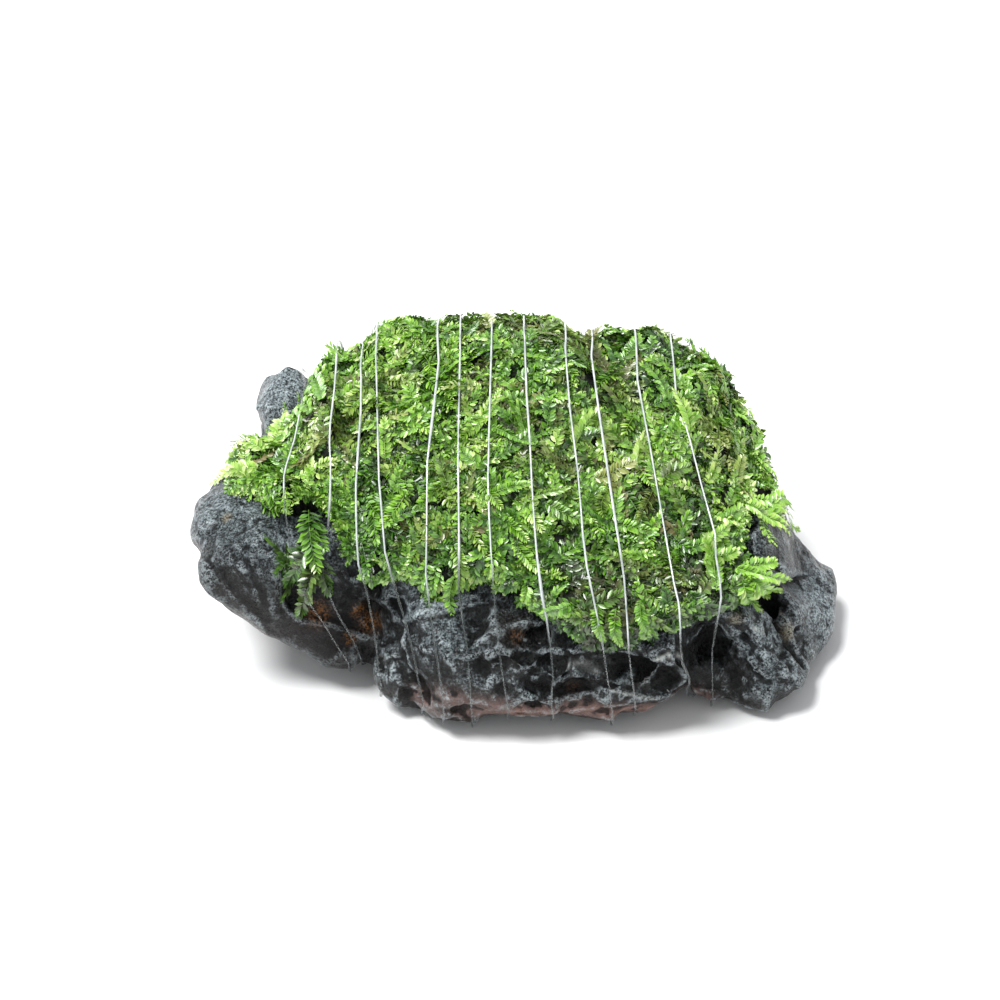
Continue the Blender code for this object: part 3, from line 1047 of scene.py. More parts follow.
@dataclass
class Fronds:
    """Grows fronds of one kind over the mat: a thin stem with a row of leaves at each side.

    Each play is how far something varies at random: on every frond, and how much more on a loose one.
    """

    surface: MatSurface
    leaf: Leaf
    rng: np.random.Generator
    steps: int = 12
    spacing: float = 0.00046
    leaf_length: float = 0.00122
    looseness: float = 0.5
    stem_radius: float = 0.00007
    root_spread: float = 66.0
    tip_spread: float = 34.0
    lift: float = 12.0
    shingle: float = 30.0
    wave: float = 0.0001
    wave_turns: float = 8.0
    fewest_steps: int = 3
    fewest_leaves: int = 4
    roll_play: Span = (10.0, 16.0)
    spread_play: Span = (4.0, 13.0)
    lift_play: Span = (6.0, 13.0)
    twist_play: Span = (7.0, 18.0)
    tint_play: Span = (0.06, 0.15)

    def _strewn(self, play: Span, count: int) -> np.ndarray:
        """So many random values about 0 with that play."""
        return self.rng.normal(0.0, play[0] + play[1] * self.looseness, count)

    def grow(self, batch: Sowing) -> Part:
        """Runs a batch of fronds over the surface and sets their leaves.

        Args:
            batch: the fronds.

        Returns:
            Their triangles.
        """
        xs, angles = self._paths(batch, batch.length)
        margin = self.surface.sample(self.surface.margin, xs, angles)
        outside = margin < -batch.overhang[:, None]
        first = np.where(outside.any(1), np.argmax(outside, 1), self.steps)
        xs, angles = self._paths(batch, batch.length * np.maximum(first, self.fewest_steps) / self.steps)
        along = np.linspace(0, 1, self.steps)[None, :]
        depth = batch.root_depth[:, None] * (1 - along) + batch.tip_depth[:, None] * along
        return self.clothe(xs, angles, depth, batch)

    def _paths(self, batch: Sowing, length: np.ndarray) -> tuple[np.ndarray, np.ndarray]:
        """The places and angles of the stems' points.

        Args:
            batch: the fronds.
            length: their lengths.

        Returns:
            Places along X and angles, a row for each frond.
        """
        path = [(batch.x, batch.angle)]
        for step in range(1, self.steps):
            heading = batch.heading + batch.bend * step / self.steps
            path.append(self.surface.advance(*path[-1], heading, length / (self.steps - 1)))
        xs, angles = zip(*path)
        return np.stack(xs, 1), np.stack(angles, 1)

    def clothe(self, xs: np.ndarray, angles: np.ndarray, depth: np.ndarray, look: Look) -> Part:
        """Makes stems along paths and sets the leaves on them.

        Args:
            xs: the paths' places along X, a row for each frond.
            angles: the paths' angles.
            depth: the paths' depths under the surface.
            look: how the fronds look.

        Returns:
            Their triangles.
        """
        rng, count = self.rng, len(xs)
        along = np.linspace(0, 1, self.steps)[None, :]
        height = rng.normal(0.0, self.wave, (count, 1))
        wave = height * np.sin(along * self.wave_turns + rng.uniform(0, 6, (count, 1)))
        stem = self.surface.point(xs, angles, depth + wave)
        length = np.linalg.norm(np.diff(stem, axis=1), axis=-1).sum(1)
        tangent = unit(np.gradient(stem, axis=1))
        side = unit(np.cross(tangent, self.surface.normal(xs, angles)))
        roll = np.radians(self._strewn(self.roll_play, count))[:, None, None]
        side, lean = turned(side, np.cross(side, tangent), roll)
        leaves = self._leaves((stem, tangent, side, lean), length, look)
        return Part.joined([leaves, self._stems(stem, side, lean, look)])

    def _leaves(self, run: tuple[np.ndarray, ...], length: np.ndarray, look: Look) -> Part:
        """Copies the leaf in two rows along each stem.

        Args:
            run: the stems' points, directions, sideways directions and outward directions.
            length: the stems' lengths.
            look: how the fronds look.

        Returns:
            The leaves' triangles.
        """
        rng, loose = self.rng, self.looseness
        number = np.maximum((length / (self.spacing * look.size)).astype(int), self.fewest_leaves)
        owner = np.repeat(np.arange(len(number)), number * 2)
        order = np.concatenate([np.arange(n * 2) for n in number])
        total = len(order)
        flank = np.where(order % 2 == 0, 1.0, -1.0)
        along = np.clip((order + 0.5 + rng.normal(0, 0.12, total)) / (2 * number[owner]), 0, 0.999)
        exact = along * (self.steps - 1)
        low = exact.astype(int)
        share = (exact - low)[:, None]
        base, forward, across, out = (v[owner, low] * (1 - share) + v[owner, low + 1] * share for v in run)
        spread = self.root_spread + (self.tip_spread - self.root_spread) * along ** 2
        spread = np.radians(spread + self._strewn(self.spread_play, total))[:, None]
        lift = np.radians(self.lift + self._strewn(self.lift_play, total))[:, None]
        blade = np.cos(spread) * forward + np.sin(spread) * flank[:, None] * across
        blade = unit(blade * np.cos(lift) + out * np.sin(lift))
        up = unit(out - blade * (out * blade).sum(1, keepdims=True))
        twist = np.radians(flank * (self.shingle + self._strewn(self.twist_play, total)))[:, None]
        up, wide = turned(up, np.cross(blade, up), twist)
        taper = np.minimum(1.0, 0.60 + along * 2.4) * np.sqrt(np.clip(1.05 - along ** 3.2, 0.08, 1))
        scale = self.leaf_length * look.size[owner] * taper
        scale = scale * rng.uniform(0.94 - 0.2 * loose, 1.06 + 0.12 * loose, total)
        shape = self.leaf.points
        spokes = [shape[None, :, k, None] * axis[:, None, :] for k, axis in enumerate((wide, blade, up))]
        verts = base[:, None, :] + scale[:, None, None] * sum(spokes)
        faces = self.leaf.faces[None] + (np.arange(total) * len(shape))[:, None, None]
        mark = np.zeros((total, len(shape), 4))
        colour = look.tint[owner] + self._strewn(self.tint_play, total)
        mark[:, :, 0] = (colour + 0.14 * along ** 3 - 0.06 * (1 - along))[:, None]
        mark[:, :, 1] = (look.age[owner] + rng.normal(0, 0.05, total))[:, None]
        mark[:, :, 2] = shape[:, 1]
        mark[:, :, 3] = np.abs(shape[:, 0]) / (0.5 * self.leaf.width)
        return Part(verts, faces, np.clip(mark, 0, 1))

    def _stems(self, stem: np.ndarray, side: np.ndarray, lean: np.ndarray, look: Look) -> Part:
        """Gives each frond its thin three-sided stem.

        Args:
            stem: the stems' points.
            side: the fronds' sideways directions.
            lean: the fronds' outward directions.
            look: how the fronds look.

        Returns:
            The stems' triangles.
        """
        keep = list(range(0, self.steps, 2)) + [self.steps - 1]
        stem, side, lean = stem[:, keep], side[:, keep], lean[:, keep]
        count, rings = stem.shape[:2]
        thin = np.linspace(1.0, 0.4, rings)[None, :, None] * self.stem_radius
        turns = np.radians([90, 210, 330])
        verts = np.stack([stem + thin * (np.cos(t) * side + np.sin(t) * lean) for t in turns], 2)
        end = (rings - 1) * 3
        faces = [(0, 2, 1), (end, end + 1, end + 2)]
        for ring in range(0, end, 3):
            for k in range(3):
                a, b = ring + k, ring + (k + 1) % 3
                faces += [(a, b, b + 3), (a, b + 3, a + 3)]
        faces = np.array(faces)[None] + (np.arange(count) * rings * 3)[:, None, None]
        mark = np.zeros((count, rings, 3, 4))
        mark[..., 0] = np.clip(look.tint + 0.12, 0, 1)[:, None, None]
        mark[..., 1] = look.age[:, None, None]
        mark[..., 2:] = (0.3, 0.4)
        return Part(verts, faces, mark)


def turned(first: np.ndarray, second: np.ndarray, turn: np.ndarray) -> tuple[np.ndarray, np.ndarray]:
    """Two directions square to each other, with the first turned towards the second by an angle."""
    return first * np.cos(turn) + second * np.sin(turn), second * np.cos(turn) - first * np.sin(turn)


@dataclass(frozen=True)
class LayerPlan:
    """How one layer of fronds is sown. Ranges are (least, most)."""

    count: int
    least_margin: float
    most_margin: float
    length: Span
    root_depth: Span
    tip_depth: Span
    overhang: Span
    # Added to the moss's tint; lower for deeper layers, as painted shade of the fronds above them.
    tint: float
    comb: float
    least_angle: float = 0.0


@dataclass(frozen=True)
class Sprig:
    """One frond placed by its root and tip in the photograph."""

    root_px: Pixel
    tip_px: Pixel
    tint: float
    age: float = 0.0
    size: float = 1.0
    lift_mm: Span = (0.2, 0.9)
    bow_px: float = 4.0


@dataclass
class MossMat:
    """The moss: a dark underlayer and strips of fronds from left to right."""

    surface: MatSurface
    view: Viewpoint
    seed: int = 7
    inset: float = 0.0017
    least_skin: float = 0.0003
    burial: float = 0.0016
    bare_margin: float = 0.0006
    rim_run: float = 0.0012
    tangle: float = 0.0005
    tangle_size: float = 0.0016
    middle_tint: float = 0.46
    tint_play: float = 0.13
    rim_play: float = 24.0
    heading_play: float = 30.0
    bend_play: float = 30.0
    sizes: Span = (0.85, 1.12)
    withered_alone: float = 0.08
    young_share: float = 0.4
    px_per_metre: float = 7000.0
    strip_edges: tuple[float, ...] = (-0.05, -0.027, -0.015, -0.004, 0.007, 0.018, 0.028, 0.05)
    # Deeper layers get lower tints, so they are darker: painted shade.
    plans: dict[Layer, LayerPlan] = field(default_factory=lambda: {
        Layer.DEEP: LayerPlan(560, 0.0012, 1.0, (0.007, 0.012), (0.0018, 0.0022), (0.0013, 0.0017),
                              (0.0, 0.0006), -0.42, 0.9),
        Layer.MIDDLE: LayerPlan(700, 0.0012, 1.0, (0.006, 0.012), (0.0011, 0.0016), (0.0005, 0.0010),
                                (0.0003, 0.0012), -0.19, 0.7),
        Layer.RIM: LayerPlan(460, 0.0006, 0.0040, (0.0030, 0.0062), (0.0008, 0.0014), (0.0, 0.0009),
                             (0.0006, 0.0020), 0.02, 0.0),
        Layer.TOP: LayerPlan(620, 0.0012, 1.0, (0.004, 0.009), (0.0005, 0.0010), (-0.0005, 0.0003),
                             (0.0003, 0.0012), 0.06, 0.6),
        Layer.COMBED: LayerPlan(150, 0.0012, 1.0, (0.005, 0.009), (0.0003, 0.0007), (-0.0006, 0.0001),
                                (0.0003, 0.0014), 0.10, 0.6),
        Layer.CREST: LayerPlan(110, 0.0012, 1.0, (0.004, 0.007), (-0.0002, 0.0003), (-0.0012, -0.0007),
                               (0.0003, 0.0014), 0.10, 0.3, 96.0),
    })
    sprigs: tuple[Sprig, ...] = (
        Sprig((272, 444), (284, 417), 0.95, 0.0, 1.1, (0.5, 1.2)),
        Sprig((690, 434), (673, 396), 0.80, 0.05, 0.9, (0.4, 1.2)),
        Sprig((745, 506), (790, 542), 0.76, 0.0, 1.1, (0.4, 1.8)),
        Sprig((752, 500), (785, 518), 0.78, 0.0, 1.0, (0.4, 1.6)),
        Sprig((758, 514), (799, 546), 0.72, 0.0, 1.1, (0.6, 2.0)),
        Sprig((762, 520), (776, 549), 0.74, 0.0, 0.9, (0.6, 1.6)),
        Sprig((770, 516), (788, 534), 0.80, 0.0, 0.9, (0.8, 2.0)),
        Sprig((735, 568), (790, 579), 0.74, 0.0, 1.1, (0.4, 2.0)),
        Sprig((742, 566), (775, 563), 0.72, 0.0, 1.0, (0.4, 1.8)),
        Sprig((745, 574), (781, 589), 0.70, 0.0, 1.0, (0.5, 1.8)),
        Sprig((742, 580), (760, 604), 0.68, 0.0, 1.05, (0.4, 1.2)),
        Sprig((752, 578), (768, 594), 0.72, 0.0, 0.9, (0.5, 1.4)),
        Sprig((716, 590), (704, 536), 0.72, 0.0, 1.0, (0.5, 1.4)),
        Sprig((702, 560), (738, 552), 0.76, 0.0, 1.0, (0.5, 1.4)),
        Sprig((700, 545), (728, 527), 0.78, 0.0, 0.9, (0.5, 1.4)),
        Sprig((344, 366), (326, 350), 0.66, 0.0, 1.0, (0.6, 1.6)),
        Sprig((356, 362), (350, 342), 0.70, 0.0, 0.9, (0.6, 1.6)),
        Sprig((366, 352), (392, 334), 0.62, 0.0, 1.0, (0.6, 1.4)),
        Sprig((309, 512), (318, 572), 0.46, 0.05, 1.50, (0.8, 1.8), 2.0),
        Sprig((312, 514), (326, 552), 0.44, 0.05, 1.30, (0.6, 1.4), 2.0),
        Sprig((322, 556), (300, 612), 0.22, 0.15, 1.35, (0.8, 1.6), 3.0),
        Sprig((316, 562), (312, 600), 0.26, 0.20, 1.30, (0.6, 1.4), 3.0),
        Sprig((324, 560), (334, 590), 0.24, 0.10, 1.25, (0.5, 1.2), 3.0),
        Sprig((302, 576), (266, 539), 0.22, 0.10, 1.30, (0.5, 1.0), 3.0),
        Sprig((304, 584), (276, 560), 0.18, 0.10, 1.25, (0.4, 0.8), 3.0),
        Sprig((318, 542), (288, 584), 0.28, 0.05, 1.35, (0.7, 1.6), 3.0),
        Sprig((306, 560), (284, 598), 0.20, 0.10, 1.35, (0.7, 1.5), 3.0),
        Sprig((302, 548), (278, 574), 0.24, 0.05, 1.25, (0.6, 1.2), 3.0),
        Sprig((262, 505), (282, 520), 0.55, 0.0, 1.0, (0.3, 0.9)),
        Sprig((268, 500), (292, 514), 0.60, 0.0, 1.0, (0.3, 0.9)),
        Sprig((598, 604), (604, 640), 0.58, 0.0, 0.75, (0.4, 0.9)),
        Sprig((574, 604), (540, 614), 0.54, 0.0, 0.75, (0.4, 0.9)),
        Sprig((640, 600), (650, 632), 0.56, 0.0, 0.75, (0.4, 0.9)),
        Sprig((616, 608), (621, 644), 0.62, 0.0, 0.8, (0.4, 0.9)),
        Sprig((520, 503), (570, 492), 0.50, 0.25, 0.7, (0.5, 1.3), 5.0),
        Sprig((480, 498), (530, 487), 0.60, 0.0, 0.7, (0.6, 1.2), 4.0),
        Sprig((490, 430), (536, 450), 0.56, 0.0, 0.65, (0.6, 1.2), 3.0),
        Sprig((480, 478), (502, 510), 0.60, 0.20, 0.9, (0.5, 0.9), 3.0),
        Sprig((545, 505), (590, 524), 0.50, 0.10, 0.9, (0.7, 1.2), 3.0),
        Sprig((455, 575), (452, 612), 0.56, 0.10, 1.0, (0.4, 1.0)),
        Sprig((258, 470), (222, 482), 0.90, 0.0, 0.9, (0.2, 0.8)),
        Sprig((262, 452), (240, 446), 0.90, 0.0, 0.9, (0.2, 0.8)),
        Sprig((250, 480), (210, 492), 0.86, 0.0, 0.9, (0.2, 0.8)),
        Sprig((302, 426), (266, 415), 0.60, 0.0, 1.1, (0.3, 0.8)),
        Sprig((292, 432), (250, 424), 0.66, 0.0, 1.1, (0.3, 0.8)),
        Sprig((310, 414), (284, 408), 0.62, 0.0, 1.0, (0.3, 0.8)),
        Sprig((286, 440), (244, 436), 0.72, 0.0, 1.0, (0.3, 0.8)),
        Sprig((322, 402), (298, 397), 0.60, 0.0, 1.0, (0.3, 0.8)),
    )

    def build(self) -> None:
        """Builds and dresses the underlayer and every strip of fronds."""
        self._underlayer()
        rng = np.random.default_rng(self.seed)
        loose = Fronds(self.surface, Leaf("moss_leaf_form"), rng)
        narrow = Leaf("moss_narrow_leaf_form", width=0.36, rows=(0.12, 0.95, 0.95, 0.05))
        combed = Fronds(self.surface, narrow, rng, spacing=0.00042, leaf_length=0.00145, looseness=0.15)
        coarse = Fronds(self.surface, narrow, rng, spacing=0.00056, leaf_length=0.00170)
        growers = {Layer.DEEP: coarse, Layer.COMBED: combed}
        parts = []
        for layer, plan in self.plans.items():
            parts.append(growers.get(layer, loose).grow(self._sow(rng, layer, plan)))
        whole = Part.joined(parts + [self._placed(combed)])
        finish = MossFinish().material()
        for number, (low, high) in enumerate(zip(self.strip_edges, self.strip_edges[1:])):
            dress(whole.between(low, high).to_object(f"moss_fronds_{number + 1}"), finish, "moss")

    def _underlayer(self) -> None:
        """Makes the dark tangle under the fronds: the mat's form sunk by the fronds' depth."""
        piece = copied("moss_underlayer", "moss_mat", 1)
        skin = Skin(piece)
        angle, reach, margin, ground = self.surface.survey(skin.co)
        rough = [noise.fractal(Vector(c) / self.tangle_size, 0.8, 2.0, 3) for c in skin.co]
        mossy = np.clip((margin - self.bare_margin) / self.rim_run, 0, 1)
        mossy = mossy * (reach > ground + 3 * self.least_skin)
        sunk = np.maximum(reach - self.inset + np.array(rough) * self.tangle, ground + self.least_skin)
        sunk = np.minimum(mossy * sunk + (1 - mossy) * (ground - self.burial), reach)
        skin.co = self.surface.place(skin.co[:, 0], angle, sunk)
        skin.write_back()
        make_active(piece)
        bpy.ops.object.shade_smooth()
        dress(piece, UnderlayerFinish().material(), "moss", "moss_mat")

    def _sow(self, rng: np.random.Generator, layer: Layer, plan: LayerPlan) -> Sowing:
        """Spreads one layer of fronds over the mat.

        Args:
            rng: the random source.
            layer: which layer it is.
            plan: how it is sown.

        Returns:
            The fronds to grow.
        """
        surface, count = self.surface, plan.count
        allowed = (surface.margin > plan.least_margin) & (surface.margin < plan.most_margin)
        first = int((plan.least_angle - surface.first_angle) / surface.step_angle)
        allowed[:, :max(first, 0)] = False
        spots = np.argwhere(allowed)
        area = surface.height[allowed]
        chosen = spots[rng.choice(len(spots), count, p=area / area.sum(), replace=count > len(spots))]
        x = surface.first_x + (chosen[:, 0] + rng.random(count)) * surface.step_x
        angle = surface.first_angle + (chosen[:, 1] + rng.random(count)) * surface.step_angle
        length = rng.uniform(*plan.length, count)
        if layer is Layer.RIM:
            heading = self._outward(chosen) + rng.normal(0, self.rim_play, count)
        else:
            heading = 360 * drift(x, angle, 70.0, 2.5) * plan.comb
            heading = heading + rng.normal(0, self.heading_play, count)
            heading = heading + rng.choice([0.0, 180.0], count)
            heading = heading + (1 - plan.comb) * rng.uniform(0, 360, count)
            end = surface.sample(surface.margin, *surface.advance(x, angle, heading, length))
            near = surface.sample(surface.margin, x, angle) < 0.5 * length
            heading = np.where((end < 0) & near, heading + 180.0, heading)
        tint = self.middle_tint + plan.tint + self._colouring(x, angle)
        tint = tint + rng.normal(0, self.tint_play, count)
        return Sowing(
            x=x,
            angle=angle,
            heading=heading,
            length=length,
            tint=np.clip(tint, 0.02, 0.97),
            age=self._ages(rng, layer, x, angle),
            bend=rng.normal(0.0, self.bend_play, count),
            root_depth=rng.uniform(*plan.root_depth, count),
            tip_depth=rng.uniform(*plan.tip_depth, count),
            size=rng.uniform(*self.sizes, count),
            overhang=rng.uniform(*plan.overhang, count),
        )

    def _ages(
        self, rng: np.random.Generator, layer: Layer, x: np.ndarray, angle: np.ndarray
    ) -> np.ndarray:
        """How withered each frond is: in patches, and a few fronds on their own.

        Args:
            rng: the random source.
            layer: the fronds' layer.
            x: their places along X.
            angle: their angles.

        Returns:
            Their ages, from 0 to 1.
        """
        patches = np.clip(2.2 * drift(x, angle, 130.0, 31.0) - 0.15, 0, 0.8)
        patches = patches * rng.uniform(0.3, 1.0, len(x))
        alone = rng.random(len(x)) < self.withered_alone
        age = np.maximum(patches, np.where(alone, rng.uniform(0.3, 0.85, len(x)), 0.0))
        if layer in (Layer.RIM, Layer.DEEP):
            age = age * self.young_share
        return age * (1 - 0.8 * self._front(x, angle))

    def _colouring(self, x: np.ndarray, angle: np.ndarray) -> np.ndarray:
        """How much brighter or darker the moss is from place to place, with painted shade low at the
        front.

        Args:
            x: places along X.
            angle: angles in degrees.

        Returns:
            What is added to the tint.
        """
        patches = 0.26 * drift(x, angle, 110.0, 0.3) + 0.26 * drift(x, angle, 260.0, 9.0)
        left_end = 0.10 * np.clip((-0.024 - x) / 0.012, 0, 1)
        crown = 0.08 * np.exp(-((x + 0.004) / 0.014) ** 2 - ((angle - 95) / 22) ** 2)
        right_end = 0.16 * np.clip((x - 0.020) / 0.008, 0, 1) * np.clip((angle - 45) / 25, 0, 1)
        # The last term darkens the moss low at the front: painted shade.
        return patches + left_end + crown + right_end - 0.40 * self._front(x, angle)

    def _front(self, x: np.ndarray, angle: np.ndarray) -> np.ndarray:
        """How much of the shaded moss low at the front each place has, from 0 to 1."""
        return np.exp(-((x - 0.015) / 0.017) ** 2 - ((angle - 20) / 20) ** 2)

    def _outward(self, chosen: np.ndarray) -> np.ndarray:
        """The headings that lead out over the rim.

        Args:
            chosen: grid places.

        Returns:
            Headings in degrees.
        """
        surface = self.surface
        rise_x, rise_angle = np.gradient(blurred(surface.margin, 10))
        i, j = chosen.T
        x = surface.first_x + i * surface.step_x
        along, about = surface.paces(x, surface.first_angle + j * surface.step_angle)
        out_x = -rise_x[i, j] / (surface.step_x * along)
        out_angle = -rise_angle[i, j] / (surface.step_angle * about)
        return np.degrees(np.arctan2(out_angle, out_x))

    def _placed(self, grower: Fronds) -> Part:
        """Grows the fronds that stand out in the photograph.

        Args:
            grower: what grows them.

        Returns:
            Their triangles.
        """
        parts = []
        along = np.linspace(0, 1, grower.steps)
        for sprig in self.sprigs:
            hits = [self.surface.solids.first_seen(self.view, *px) for px in (sprig.root_px, sprig.tip_px)]
            (x0, a0), (x1, a1) = (self.surface.locate(np.array(hit))[:2] for hit in hits)
            bow = np.sin(along * math.pi) * sprig.bow_px / self.px_per_metre
            xs = x0 + (x1 - x0) * along + bow * (1 if a1 > a0 else -1)
            angles = a0 + (a1 - a0) * along
            depth = -(sprig.lift_mm[0] + (sprig.lift_mm[1] - sprig.lift_mm[0]) * along) * MM
            look = Look(*(np.array([value]) for value in (sprig.tint, sprig.age, sprig.size)))
            parts.append(grower.clothe(xs[None], angles[None], depth[None], look))
        return Part.joined(parts)


class Skin:
    """A mesh's vertices as arrays, to be worked on and written back."""

    def __init__(self, piece: bpy.types.Object) -> None:
        """Reads the places, normals and edges of a piece's mesh.

        Args:
            piece: the piece.
        """
        self.mesh = piece.data
        self.co = self._read(self.mesh.vertices, "co", 3, float)
        self.out = self._read(self.mesh.vertices, "normal", 3, float)
        self.edges = self._read(self.mesh.edges, "vertices", 2, int)
        self.degree = np.bincount(self.edges.ravel(), minlength=len(self.co))

    @staticmethod
    def _read(items: object, name: str, width: int, kind: type) -> np.ndarray:
        """Reads one value of every item of a mesh.

        Args:
            items: the mesh's vertices or edges.
            name: the value's name.
            width: how many numbers it has.
            kind: their type.

        Returns:
            The values, a row for each item.
        """
        values = np.empty(len(items) * width, kind)
        items.foreach_get(name, values)
        return values.reshape(-1, width)

    def averaged(self, values: np.ndarray, rounds: int) -> np.ndarray:
        """Values drawn halfway to the mean of their neighbours.

        Args:
            values: one value or one vector for each vertex.
            rounds: how often they are drawn.

        Returns:
            The smoother values.
        """
        if values.ndim > 1:
            return np.stack([self.averaged(column, rounds) for column in values.T], 1)
        a, b = self.edges.T
        for _ in range(rounds):
            total = np.bincount(a, values[b], len(values)) + np.bincount(b, values[a], len(values))
            values = 0.5 * values + 0.5 * total / np.maximum(self.degree, 1)
        return values

    def write_back(self) -> None:
        """Writes the places to the mesh and reads its new normals."""
        self.mesh.vertices.foreach_set("co", self.co.ravel())
        self.mesh.update()
        self.out = self._read(self.mesh.vertices, "normal", 3, float)

    def paint(self, name: str, values: np.ndarray) -> None:
        """Stores four values for each vertex under a name."""
        layer = self.mesh.attributes.new(name, "FLOAT_COLOR", "POINT")
        layer.data.foreach_set("color", values.astype(np.float32).ravel())


@dataclass(frozen=True)
class Mark:
    """A spot on the stone, placed by its pixel in the photograph."""

    px: float
    py: float
    radius_mm: float
    amount: float


@dataclass(frozen=True)
class Stroke:
    """A line on the stone through pixels of the photograph."""

    path_px: Path
    width_mm: float
    amount: float


@dataclass(frozen=True)
class Ledge:
    """A step in the stone: what lies to the right of its path, going along it, is set back."""

    path_px: Path
    drop_mm: float
    edge_mm: float
    run_mm: float


